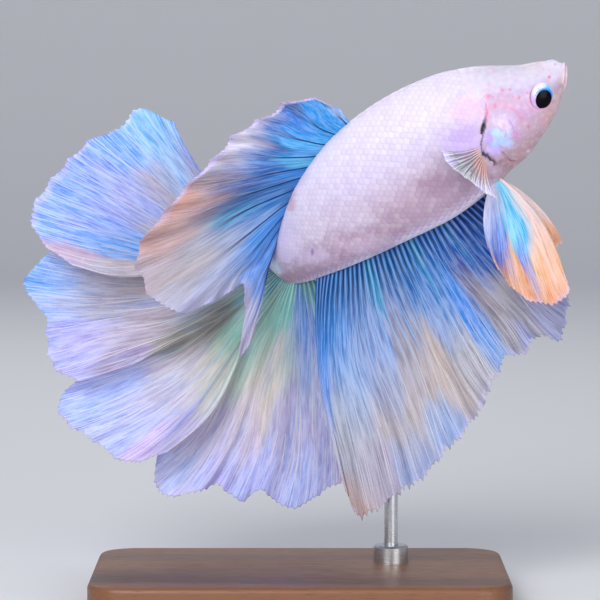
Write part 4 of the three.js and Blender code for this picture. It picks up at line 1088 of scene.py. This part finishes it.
def scale_tree():
    """The coat of scales: one bevelled plate on each point, turned by the point's own directions."""
    tree = new_tree("coat_of_scales", [
        ("Width", "NodeSocketFloat", 0.9 * MM), ("Length", "NodeSocketFloat", 0.9 * MM),
        ("Thickness", "NodeSocketFloat", 0.1 * MM), ("Lift", "NodeSocketFloat", 0.1),
        ("Corners", "NodeSocketInt", 12), ("Seed", "NodeSocketInt", 11),
        ("Material", "NodeSocketMaterial", None),
    ])
    group = add_node(tree, "NodeGroupInput").outputs
    plate = add_node(tree, "GeometryNodeMeshCone", {"Vertices": group["Corners"], "Radius Top": 0.7,
                                                    "Radius Bottom": 1.0, "Depth": 1.0},
                     fill_type="TRIANGLE_FAN")
    position = add_node(tree, "GeometryNodeInputPosition")
    marked = add_node(tree, "GeometryNodeStoreNamedAttribute", {"Geometry": plate, "Name": "scale_place",
                                                                "Value": position},
                      data_type="FLOAT_VECTOR", domain="POINT")
    half_length = add_node(tree, "ShaderNodeMath", {0: group["Length"], 1: 0.5}, operation="MULTIPLY")
    half_width = add_node(tree, "ShaderNodeMath", {0: group["Width"], 1: 0.5}, operation="MULTIPLY")
    stretch = add_node(tree, "ShaderNodeCombineXYZ", {"X": half_length, "Y": half_width,
                                                      "Z": group["Thickness"]})
    turn = add_node(tree, "ShaderNodeMath", {0: group["Lift"], 1: -1.0}, operation="MULTIPLY")
    leaning = add_node(tree, "ShaderNodeCombineXYZ", {"Y": turn})
    sized = add_node(tree, "GeometryNodeTransform", {"Geometry": marked, "Scale": stretch})
    # only edges that bend by less than a radian are smooth
    bend = add_node(tree, "GeometryNodeInputMeshEdgeAngle")
    gentle = add_node(tree, "FunctionNodeCompare", {0: bend, 1: 1.0}, operation="LESS_THAN")
    edged = add_node(tree, "GeometryNodeSetShadeSmooth", {"Geometry": sized, "Shade Smooth": gentle},
                     domain="EDGE")
    lifted = add_node(tree, "GeometryNodeTransform", {"Geometry": edged, "Rotation": leaning})
    out, along = (add_node(tree, "GeometryNodeInputNamedAttribute", {"Name": name}, data_type="FLOAT_VECTOR")
                  for name in ("out", "along"))
    facing = add_node(tree, "FunctionNodeAxesToRotation", {"Primary Axis": out, "Secondary Axis": along},
                      primary_axis="Z", secondary_axis="X")
    girth = add_node(tree, "GeometryNodeInputNamedAttribute", {"Name": "girth"}, data_type="FLOAT")
    chance = add_node(tree, "FunctionNodeRandomValue", {2: 0.94, 3: 1.06, "Seed": group["Seed"]},
                      data_type="FLOAT")
    grown = add_node(tree, "ShaderNodeMath", {0: girth, 1: chance}, operation="MULTIPLY")
    placed = add_node(tree, "GeometryNodeInstanceOnPoints", {
        "Points": group["Geometry"], "Instance": lifted, "Rotation": facing, "Scale": grown})
    solid = add_node(tree, "GeometryNodeRealizeInstances", {"Geometry": placed})
    dressed = add_node(tree, "GeometryNodeSetMaterial", {"Geometry": solid, "Material": group["Material"]})
    add_node(tree, "NodeGroupOutput", {"Geometry": dressed})
    return tree


def scale_roots(settings):
    """Where scales stand: staggered columns whose rows run with the body and end at its edges."""
    rng = np.random.default_rng(7)
    width, row = settings.scale_width / MM, settings.scale_row / MM
    first, last = 0.12, 0.985  # where the columns start and end, as shares of the body's length
    steps = 400
    fine = np.linspace(0, 1, steps)
    run = lengths(section(fine)[0])
    shrink = smooth([[0, 0.62], [0.2, 0.82], [0.35, 1.0], [0.6, 1.0], [0.85, 0.8], [1, 0.66]])
    found = {key: [] for key in ("t", "angle", "girth")}
    place, column = np.interp(first, fine, run), 0
    while place < run[-1] * last:
        t = np.interp(place, run, fine)
        grown = float(shrink(t)[0])
        half_turn = np.linspace(0, np.pi, steps)
        arc = lengths(body_point(np.full(steps, t), half_turn))
        waist = np.interp(np.pi / 2, half_turn, arc)
        step = width * grown
        start = (waist - 0.5 * (column % 2) * step) % step
        spots = np.arange(start, arc[-1] + 0.2 * step, step)
        spots = spots[(spots > 0.25 * step) & (spots < arc[-1] - 0.2 * step)]
        for sign in (1, -1):
            found["angle"].extend(sign * np.interp(spots, arc, half_turn))
            found["t"].extend(t + rng.uniform(-0.0008, 0.0008, len(spots)))
            found["girth"].extend([grown] * len(spots))
        place += row * grown
        column += 1
    return {key: np.array(values) for key, values in found.items()}


def make_scales():
    """The coat: thin overlapping plates from the nape to the tail root, smaller towards the ends."""
    settings = bpy.context.scene.betta_skin
    roots = scale_roots(settings)
    t, angle = roots["t"], roots["angle"]
    coat = settings.coat_depth / MM
    points = body_point(t, angle, -coat)
    small = 1e-3
    along = unit(body_point(t + small, angle, -coat) - body_point(t - small, angle, -coat))
    about = body_point(t, angle + small, -coat) - body_point(t, angle - small, -coat)
    out = unit(np.cross(along, about))
    centre = section(t)[0]
    out *= np.sign(((points - centre) * out).sum(1))[:, None]

    # no plates on the face, the gill covers and the throat: the coat starts 0.4 mm behind the nape's
    # line, and along the back 2 mm ahead of it
    behind, _ = line_distance(points[:, [0, 2]], NAPE)
    on_back = blend_between(0.75, 0.95, np.cos(angle)) * 2.4
    keep = behind > 0.4 - on_back
    t, angle, points, along, out, girth = (x[keep] for x in (t, angle, points, along, out, roots["girth"]))
    tone = np.random.default_rng(3).uniform(0, 1, len(points))
    scales = mesh_piece("scales", points, kept={
        "out": out, "along": along, "root_place": np.column_stack([t, (angle / (2 * np.pi)) % 1, 0 * t]),
        "girth": girth, "tone": tone})
    apply_tree(scales, scale_tree(), {
        "Width": settings.scale_width * SCALE_WIDTH, "Length": settings.scale_width * SCALE_LENGTH,
        "Thickness": settings.scale_thickness, "Lift": settings.scale_lift, "Corners": 12, "Seed": 11,
        "Material": scale_material(),
    })
    mesh = scales.data
    points = read_vectors(mesh.vertices, "co")
    local = read_vectors(mesh.attributes["scale_place"].data, "vector")
    root = read_vectors(mesh.attributes["root_place"].data, "vector")
    paint(mesh, skin_colour(points / MM, np.cos(2 * np.pi * root[:, 1])))
    unwrap(mesh, "OFBake", root[:, :2] + local[:, :2] * SCALE_PATCH / 2)
    return settle(scales, "skin", "trunk", "tail_stalk")


# ---------------------------------------------------------------- eyes


def make_eye(name, sign, material):
    """A flattened ball with a slightly raised cornea, set in its socket."""
    settings = bpy.context.scene.betta_eyes
    rings, around = 56, 96
    polar = np.linspace(0, np.pi, rings + 2)[1:-1]
    turn = np.linspace(0, 2 * np.pi, around, endpoint=False)
    polar, turn = np.meshgrid(polar, turn, indexing="ij")
    gaze = np.stack([np.sin(polar) * np.cos(turn), np.sin(polar) * np.sin(turn), np.cos(polar)], -1)
    gaze = np.vstack([gaze.reshape(-1, 3), [[0, 0, 1], [0, 0, -1]]])
    dome = 1 + 0.06 * np.exp(-((gaze[:, 0] ** 2 + gaze[:, 1] ** 2) / 0.5) ** 2) * (gaze[:, 2] > 0)
    wide, tall, deep = (x / MM for x in (settings.half_width, settings.half_height, settings.half_depth))
    forward, upward = gaze[:, 0] * wide, gaze[:, 1] * tall
    outwards = np.sign(gaze[:, 2]) * np.abs(gaze[:, 2]) ** 0.6 * deep * dome
    c, s = math.cos(EYE_LEAN), math.sin(EYE_LEAN)
    x, z = forward * c + upward * s, upward * c - forward * s
    c, s = math.cos(EYE_TURN), math.sin(EYE_TURN)
    middle = float(flank_width(EYE_X, EYE_Z)) + settings.stick_out / MM - deep
    points = np.column_stack([EYE_X + x * c + outwards * s, sign * (middle + outwards * c - x * s),
                              EYE_Z + z])
    eye = mesh_piece(name, points, ball_faces(points, rings, around), material=material, kept={"gaze": gaze})
    return settle(eye, "eye", name.replace("eyeball", "eye"))


# ---------------------------------------------------------------- fins


def fin_surface(fin, u, v):
    """Points of a fin: rays fan from the root line to the scalloped, toothed and frilled margin.

    u runs from 0 at the first ray to 1 at the last, and v from 0 at the root to 1 at the margin."""
    start = fin["root"](u)
    ray = fin["edge"](u) - start
    reach = np.linalg.norm(ray, axis=-1)
    place = u * fin["rays"]
    # the margin: scallops, slow wanderings, and teeth
    count, depth = fin["scallops"]
    arcs = count * u + 0.3 * noise(place * 0.37, 0 * u + 5.1, seed=7)
    dip = depth * np.abs(np.sin(np.pi * arcs)) ** 0.8
    dip += 1.4 * fin["wander"] * (0.5 - 0.5 * noise(place * 0.6, 0 * u + 3.7, seed=8)) ** 2
    teeth, tooth = fin["teeth"]
    gap = np.abs(np.cos(np.pi * teeth * place)) ** 0.8  # 0 at a tooth's tip, 1 between two teeth
    gap = gap * tooth * (0.65 + 0.35 * noise(place * 1.1, 0 * u + 9.1, seed=9))
    # the rays bow, and sway to and fro together, but not those along the fin's free edges
    across = unit(np.stack([-ray[..., 2], np.zeros_like(u), ray[..., 0]], axis=-1))
    first, last = fin["bow"]
    sway = noise(place * 0.17, v * 2.0 + 1.3, seed=21) + 0.4 * noise(place * 0.5, v * 3.6 + 7.1, seed=22)
    inner = blend_between(0.0, 0.1, np.minimum(u, 1 - u))
    bowed = ((first + (last - first) * u) * reach + fin["sway"] * sway * inner) * 4 * v * (1 - v)
    short = (dip * v ** 3 + gap * v ** 14) / reach
    points = start + ray * (v * (1 - short))[..., None] + across * bowed[..., None]
    # to the sides: waves, and the swing of the fin's middle, greatest a third of the way out
    height, waves = fin["ruffle"]
    points[..., 1] += height * v * v * np.sin(2 * np.pi * waves * u)
    points[..., 1] += fin["sweep"] * 6.75 * v * (1 - v) ** 2
    # soft folds that wander over several rays, pleats between the rays, and the frill
    folds = noise(place * 0.7, v * 1.5, seed=5) + 0.45 * noise(place * 1.9, v * 2.3, seed=6)
    points[..., 1] += fin["folds"] * v ** 1.4 * folds
    points[..., 1] += 0.07 * v ** 2 * np.cos(2 * np.pi * place)
    points[..., 1] += fin["frill"] * v ** 6 * np.sin(2 * np.pi * arcs)
    return points


def spread(v):
    """How far the rays' first, second and third forks have spread at v, in shares of a ray's space."""
    return [width * blend_between(fork, 1.0, v) for width, fork in zip((0.25, 0.125, 0.0625), FORKS[1:])]


def fin_normal(fin, u, v):
    """Directions square to a fin's surface."""
    small = 2e-3
    du = fin_surface(fin, np.minimum(u + small, 1), v) - fin_surface(fin, np.maximum(u - small, 0), v)
    dv = fin_surface(fin, u, np.minimum(v + small, 1)) - fin_surface(fin, u, np.maximum(v - small, 0))
    return unit(np.cross(du, dv))


def fin_colour(fin, u, v):
    """The fin's ground colours from root to margin, with its marks laid along the rays."""
    ahead = fin_surface(fin, u, np.minimum(v + 0.02, 1)).reshape(-1, 3)
    behind = fin_surface(fin, u, np.maximum(v - 0.02, 0)).reshape(-1, 3)
    along = unit((ahead - behind)[:, [0, 2]])
    rays, down, seed = (u * fin["rays"]).ravel(), v.ravel(), fin["seed"]
    ragged = 0.12 * noise(rays, 3 * down, seed) + 0.05 * noise(rays * 3.1, 5 * down, seed + 3)
    ground = ramp(fin["ground"], np.clip(down + ragged, 0, 1))
    drift = (1.3 * noise(rays * 1.2, 3 * down, seed + 1) + 0.7 * noise(rays * 3.7, 4 * down, seed + 2),
             0.35 * noise(rays * 0.7, 5 * down, seed + 4))
    places = fin_surface(fin, u, v).reshape(-1, 3)[:, [0, 2]]
    colours = melt_marks(ground, places, fin["marks"], along, drift)
    start, first, last = fin["rim"]
    most = first + (last - first) * blend_between(0.3, 0.5, u.ravel())
    tinge(colours, "#E2D2FA", most * blend_between(start, start + 0.03, down + 0.2 * ragged))
    return colours


def make_web(name, fin):
    """A fin's web: both faces of its surface, thinning out towards a closed rim."""
    settings = bpy.context.scene.betta_fins
    columns, rows = fin["columns"] + 1, fin["rows"] + 1
    closer_rows = 1 - (1 - np.linspace(0, 1, rows)) ** 1.3  # closer together towards the margin
    u, v = np.meshgrid(np.linspace(0, 1, columns), closer_rows, indexing="ij")
    middle, normal = fin_surface(fin, u, v), fin_normal(fin, u, v)
    thick, thin = settings.web_root / MM, settings.web_edge / MM
    half = (thick + (thin - thick) * v ** 0.6)[..., None] / 2
    reach = np.linalg.norm(fin["edge"](u[:, -1]) - fin["root"](u[:, -1]), axis=-1).mean()
    colours = fin_colour(fin, u, v).reshape(columns, rows, 3)
    places = np.stack([u * fin["rays"], v * reach], axis=-1)
    # each column goes out along one face and back along the other
    points, colours, places = (
        np.concatenate([there, back[:, ::-1]], axis=1).reshape(-1, there.shape[-1])
        for there, back in ((middle + normal * half, middle - normal * half), (colours, colours),
                            (places, places)))
    around = 2 * rows
    j = np.arange(rows - 1)
    lid = np.column_stack([j, j + 1, around - 2 - j, around - 1 - j])
    faces = np.vstack([tube_faces(columns, around), lid[:, ::-1], lid + (columns - 1) * around])
    return mesh_piece(name, points, outward(points, faces), material=web_material(name + "_film", fin),
                      uv=("RayPlace", places), tint=colours)


def ray_tree():
    """Fin rays: each run of edges becomes a thin tapered tube, as thick as its points say."""
    tree = new_tree("fin_rays", [("Sides", "NodeSocketInt", 6), ("Material", "NodeSocketMaterial", None)])
    group = add_node(tree, "NodeGroupInput").outputs
    girth = add_node(tree, "GeometryNodeInputNamedAttribute", {"Name": "girth"}, data_type="FLOAT")
    line = add_node(tree, "GeometryNodeMeshToCurve", {"Mesh": group["Geometry"]})
    outline = add_node(tree, "GeometryNodeCurvePrimitiveCircle", {"Resolution": group["Sides"],
                                                                  "Radius": 1.0})
    tube = add_node(tree, "GeometryNodeCurveToMesh", {
        "Curve": line, "Profile Curve": outline, "Scale": girth, "Fill Caps": True})
    solid = add_node(tree, "GeometryNodeRealizeInstances", {"Geometry": tube})
    soft = add_node(tree, "GeometryNodeSetShadeSmooth", {"Geometry": solid})
    dressed = add_node(tree, "GeometryNodeSetMaterial", {"Geometry": soft, "Material": group["Material"]})
    add_node(tree, "NodeGroupOutput", {"Geometry": dressed})
    return tree


def make_rays(name, fin, material):
    """A fin's rays: each forks three times on its way to the margin."""
    settings = bpy.context.scene.betta_fins
    every, bolder = fin["bold"]
    us, vs, bold = [], [], []
    for level, start in enumerate(FORKS):
        stop = (*FORKS, RAY_END)[level + 1]
        v = np.linspace(start, stop, RUN_POINTS)
        for ray in range(fin["rays"]):
            for signs in itertools.product((-1, 1), repeat=level):
                shift = sum((sign * width for sign, width in zip(signs, spread(v))), 0 * v)
                us.append((ray + 0.5 + shift) / fin["rays"])
                vs.append(v)
                bold.append(ray % every == 0)
    edges = [(run * RUN_POINTS + k, run * RUN_POINTS + k + 1) for run in range(len(us))
             for k in range(RUN_POINTS - 1)]
    u, v, bold = np.concatenate(us), np.concatenate(vs), np.repeat(bold, RUN_POINTS)
    colours = fin_colour(fin, u, v)
    inner, inner_share, outer, outer_share = fin["tones"]
    outwards = blend_between(0.3, 0.7, v)[:, None]
    inner_share = np.where(bold, inner_share, 0.15 * inner_share)[:, None]
    toned = linear(inner) + (linear(outer) - linear(inner)) * outwards
    chance = np.random.default_rng(fin["seed"]).uniform(0.1, 1.6, len(us))
    outer_share = outer_share * np.repeat(chance, RUN_POINTS)[:, None]
    colours += (toned - colours) * np.clip(inner_share + (outer_share - inner_share) * outwards, 0, 1)
    thick, thin = settings.ray_root / MM, settings.ray_tip / MM
    girth = (thin + (thick - thin) * (1 - v) ** 2) * np.where(bold, bolder, 1.0) * MM
    along = np.column_stack([v * np.linalg.norm(fin["edge"](u) - fin["root"](u), axis=-1), u, 0 * u])
    rays = mesh_piece(name, fin_surface(fin, u, v), edges=edges, tint=colours,
                      kept={"ray_place": along, "girth": girth})
    tree = bpy.data.node_groups.get("fin_rays") or ray_tree()
    return apply_tree(rays, tree, {"Sides": settings.ray_sides, "Material": material})


def make_fin(name, spec, root, margin):
    """One fin from its table, its root line and its rays' ends: a web and rays for one solid."""
    fin = spec | {"root": root, "edge": smooth_line(margin)}
    web = make_web(name + "_web", fin)
    rays = make_rays(name + "_rays", fin, ray_material(name + "_ray_bone"))
    settle(web, fin["slot"], name)
    settle(rays, fin["slot"], name)


def along_edge(first, last, angle):
    """The root line along the back (angle 0) or the belly (half a turn), a little inside the body."""

    def root(u):
        return body_point(first + (last - first) * u, np.full_like(u, angle), -ROOT_SUNK)
    return root


def caudal_root(u):
    """The root line round the end of the tail stalk; its ends run a little way forwards on it."""
    wrap = 0.09 * (2 * u - 1) ** 4 * np.where(u > 0.5, 1, 0.5)
    centre, tail, up, _ = section(1 - wrap)
    top, bottom = float(back_height(1.0)[0]), -float(belly_height(1.0)[0])
    height = (top + (bottom - top) * u) * 0.92
    return centre + up * height[..., None] - tail * 0.3


def ventral_root(sign):
    """The short root line under the throat, on one side."""
    x, y, z = VENTRAL_ROOT

    def root(u):
        ahead = (0.5 - u) * VENTRAL_ROOT_LENGTH
        return np.stack([x + 0.85 * ahead, np.full_like(u, sign * y), z + 0.5 * ahead], axis=-1)
    return root


def pectoral_root(sign):
    """The straight root line behind the gill cover, on one side."""
    ends = np.array([[x, sign * (float(flank_width(x, z)) - ROOT_SUNK), z] for x, z in PECTORAL_ROOT])

    def root(u):
        return ends[0] + (ends[1] - ends[0]) * u[..., None]
    return root


# ---------------------------------------------------------------- stand


def rounded_slab(name, low, high, corner, edge, material):
    """A board with rounded corners and rounded upper and lower edges."""
    steps, layers = 12, 6
    centre, half = (low + high) / 2, (high - low) / 2
    quarter = np.linspace(0, np.pi / 2, steps)
    outline = []
    for k, (sx, sy) in enumerate(((1, 1), (-1, 1), (-1, -1), (1, -1))):
        a = quarter + k * np.pi / 2
        outline.append(np.column_stack([sx * (half[0] - corner) + corner * np.cos(a),
                                        sy * (half[1] - corner) + corner * np.sin(a)]))
    outline = np.vstack(outline)
    inward = unit(np.vstack([outline[-1:], outline])[:-1] - np.vstack([outline[1:], outline[:1]]))
    inward = np.column_stack([inward[:, 1], -inward[:, 0]])
    inward *= -np.sign((inward * outline).sum(1))[:, None]
    # the lower edge turns out and up, the upper edge up and in
    bend = np.linspace(0, np.pi / 2, layers)
    turns = [(1 - math.sin(b), low[2] + edge * (1 - math.cos(b))) for b in bend]
    turns += [(1 - math.cos(b), high[2] - edge * (1 - math.sin(b))) for b in bend]
    middle = np.array([centre[0], centre[1], 0])
    rings = [np.column_stack([outline + inward * edge * share, np.full(len(outline), z)]) + middle
             for share, z in turns]
    return lidded_piece(name, rings, material)


def lathe(name, x, y, profile, material, around=48):
    """A closed turned piece about an upright axis from (radius, height) points."""
    angle = np.linspace(0, 2 * np.pi, around, endpoint=False)
    rings = [np.column_stack([x + r * np.cos(angle), y + r * np.sin(angle), np.full(around, z)])
             for r, z in profile]
    return lidded_piece(name, rings, material)


def make_stand():
    """The walnut base, the steel rod that carries the fish and the collar round its foot."""
    settings = bpy.context.scene.betta_stand
    steel = steel_material()
    boxes = {part: [np.array(corner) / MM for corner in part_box("stand_" + part)]
             for part in ("base", "rod", "collar")}
    base = rounded_slab("base_board", *boxes["base"], BASE_CORNER, settings.edge / MM, walnut_material())
    settle(base, "stand_wood", "stand_base")
    low, high = boxes["rod"]
    top = high[2] + ROD_SUNK
    x, y, radius = (low[0] + high[0]) / 2, (low[1] + high[1]) / 2, (high[0] - low[0]) / 2
    board = boxes["base"][1][2]
    rod = lathe("support_rod", x, y, ((radius, board - 0.2), (radius, top - 0.2), (radius - 0.2, top)), steel)
    settle(rod, "stand_steel", "stand_rod")
    low, high = boxes["collar"]
    outer, roof, chamfer = (high[0] - low[0]) / 2, high[2], 0.25
    profile = ((outer, board), (outer, roof - chamfer), (outer - chamfer, roof), (radius + 0.06, roof),
               (radius + 0.02, roof - 0.1))
    collar = lathe("rod_collar", x, y, profile, steel)
    settle(collar, "stand_steel", "stand_collar")


# ---------------------------------------------------------------- stage


def make_stage():
    """A plain pale floor, three soft lights and the camera."""
    scene = bpy.context.scene
    settings = scene.betta_stage
    material, tree = new_material("matt_paper_floor")
    paper = add_node(tree, "ShaderNodeBsdfPrincipled", {"Base Color": settings.floor, "Roughness": 0.9})
    add_node(tree, "ShaderNodeOutputMaterial", {"Surface": paper})
    # the paper is 4 m wide, lies flat to 0.65 m behind the model and bends up there
    reach, bend, back = 2000.0, 250.0, 650.0
    turn = np.linspace(0, np.pi / 2, 16)
    path = [(-reach, 0.0)] + [(back + bend * math.sin(a), bend * (1 - math.cos(a))) for a in turn]
    path += [(back + bend, reach)]
    points = np.array([(x, y, z) for x in (-reach, reach) for y, z in path])
    count = len(path)
    faces = [[i, i + 1, count + i + 1, count + i][::-1] for i in range(count - 1)]
    mesh_piece("floor", points, faces, material=material)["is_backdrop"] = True

    low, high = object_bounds()
    for name, (place, width) in LIGHTS.items():
        lamp = bpy.data.lights.new(name, "AREA")
        lamp.energy, lamp.size, lamp.color = getattr(settings, name), width, LIGHT_COLOUR
        made = bpy.data.objects.new(name, lamp)
        made.location = place
        made.rotation_euler = ((low + high) / 2 - made.location).to_track_quat("-Z", "Y").to_euler()
        scene.collection.objects.link(made)
    scene.world = bpy.data.worlds.new("even_light")
    scene.world.use_nodes = True
    sky = scene.world.node_tree.nodes["Background"]
    sky.inputs["Color"].default_value = SKY_COLOUR
    sky.inputs["Strength"].default_value = settings.sky
    scene.view_settings.view_transform = "Standard"

    data = bpy.data.cameras.new("camera")
    data.sensor_width = 36.0
    data.lens = data.sensor_width * settings.distance / settings.width
    camera = bpy.data.objects.new("camera", data)
    tilt, distance = settings.elevation, settings.distance
    camera.location = (0, -distance * math.cos(tilt), settings.middle + distance * math.sin(tilt))
    camera.rotation_euler = (math.pi / 2 - tilt, 0, 0)
    scene.collection.objects.link(camera)
    scene.camera = camera


# ---------------------------------------------------------------- operators


class BETTA_OT_skin(bpy.types.Operator):
    """Makes the one closed skin, with the head's relief"""

    bl_idname = "betta.skin"
    bl_label = "Skin"

    def execute(self, context):
        make_skin()
        return {"FINISHED"}


class BETTA_OT_scales(bpy.types.Operator):
    """Lays the coat of scales over the skin"""

    bl_idname = "betta.scales"
    bl_label = "Scales"

    def execute(self, context):
        make_scales()
        return {"FINISHED"}


class BETTA_OT_eyes(bpy.types.Operator):
    """Sets both eyes in their sockets"""

    bl_idname = "betta.eyes"
    bl_label = "Eyes"

    def execute(self, context):
        material = eye_material()
        for name, sign in SIDES.items():
            make_eye("eyeball_" + name, sign, material)
        return {"FINISHED"}


class BETTA_OT_dorsal_fin(bpy.types.Operator):
    """Makes the dorsal fin's web and rays"""

    bl_idname = "betta.dorsal_fin"
    bl_label = "Dorsal fin"

    def execute(self, context):
        make_fin("dorsal_fin", DORSAL, along_edge(*DORSAL["stretch"], 0.0), DORSAL["margin"])
        return {"FINISHED"}


class BETTA_OT_anal_fin(bpy.types.Operator):
    """Makes the anal fin's web and rays"""

    bl_idname = "betta.anal_fin"
    bl_label = "Anal fin"

    def execute(self, context):
        make_fin("anal_fin", ANAL, along_edge(*ANAL["stretch"], np.pi), ANAL["margin"])
        return {"FINISHED"}


class BETTA_OT_caudal_fin(bpy.types.Operator):
    """Makes the tail fin's web and rays"""

    bl_idname = "betta.caudal_fin"
    bl_label = "Caudal fin"

    def execute(self, context):
        make_fin("caudal_fin", CAUDAL, caudal_root, CAUDAL["margin"])
        return {"FINISHED"}


class BETTA_OT_ventral_fins(bpy.types.Operator):
    """Makes both ventral fins' webs and rays"""

    bl_idname = "betta.ventral_fins"
    bl_label = "Ventral fins"

    def execute(self, context):
        for name, sign in SIDES.items():
            make_fin("ventral_fin_" + name, VENTRAL, ventral_root(sign), VENTRAL["margins"][name])
        return {"FINISHED"}


class BETTA_OT_pectoral_fins(bpy.types.Operator):
    """Makes both clear pectoral fins' webs and rays"""

    bl_idname = "betta.pectoral_fins"
    bl_label = "Pectoral fins"

    def execute(self, context):
        for name, sign in SIDES.items():
            margin = [[x, sign * y, z] for x, y, z in PECTORAL["margin"]]
            make_fin("pectoral_fin_" + name, PECTORAL, pectoral_root(sign), margin)
        return {"FINISHED"}


class BETTA_OT_stand(bpy.types.Operator):
    """Makes the display stand"""

    bl_idname = "betta.stand"
    bl_label = "Stand"

    def execute(self, context):
        make_stand()
        return {"FINISHED"}


class BETTA_OT_stage(bpy.types.Operator):
    """Makes the floor, the lights and the camera"""

    bl_idname = "betta.stage"
    bl_label = "Stage"

    def execute(self, context):
        make_stage()
        return {"FINISHED"}


OPERATORS = (BETTA_OT_skin, BETTA_OT_scales, BETTA_OT_eyes, BETTA_OT_dorsal_fin, BETTA_OT_anal_fin,
             BETTA_OT_caudal_fin, BETTA_OT_ventral_fins, BETTA_OT_pectoral_fins, BETTA_OT_stand,
             BETTA_OT_stage)


class BETTA_PT_parts(bpy.types.Panel):
    """Lists the model's pieces and their settings"""

    bl_label = "Betta fish model"
    bl_idname = "BETTA_PT_parts"
    bl_space_type = "VIEW_3D"
    bl_region_type = "UI"
    bl_category = "Betta"

    def draw(self, context):
        for operator in OPERATORS:
            self.layout.operator(operator.bl_idname)
        for name, group in SETTINGS.items():
            box = self.layout.box()
            for key in group.__annotations__:
                box.prop(getattr(context.scene, name), key)


def register():
    for group in (*SETTINGS.values(), *OPERATORS, BETTA_PT_parts):
        bpy.utils.register_class(group)
    for name, group in SETTINGS.items():
        setattr(bpy.types.Scene, name, PointerProperty(type=group))


def unregister():
    for name in SETTINGS:
        delattr(bpy.types.Scene, name)
    for group in reversed((*SETTINGS.values(), *OPERATORS, BETTA_PT_parts)):
        bpy.utils.unregister_class(group)


def main():
    """Makes every piece and the stage."""
    register()
    for operator in OPERATORS:
        getattr(bpy.ops.betta, operator.bl_idname.split(".")[1])()


if __name__ == "__main__":
    main()
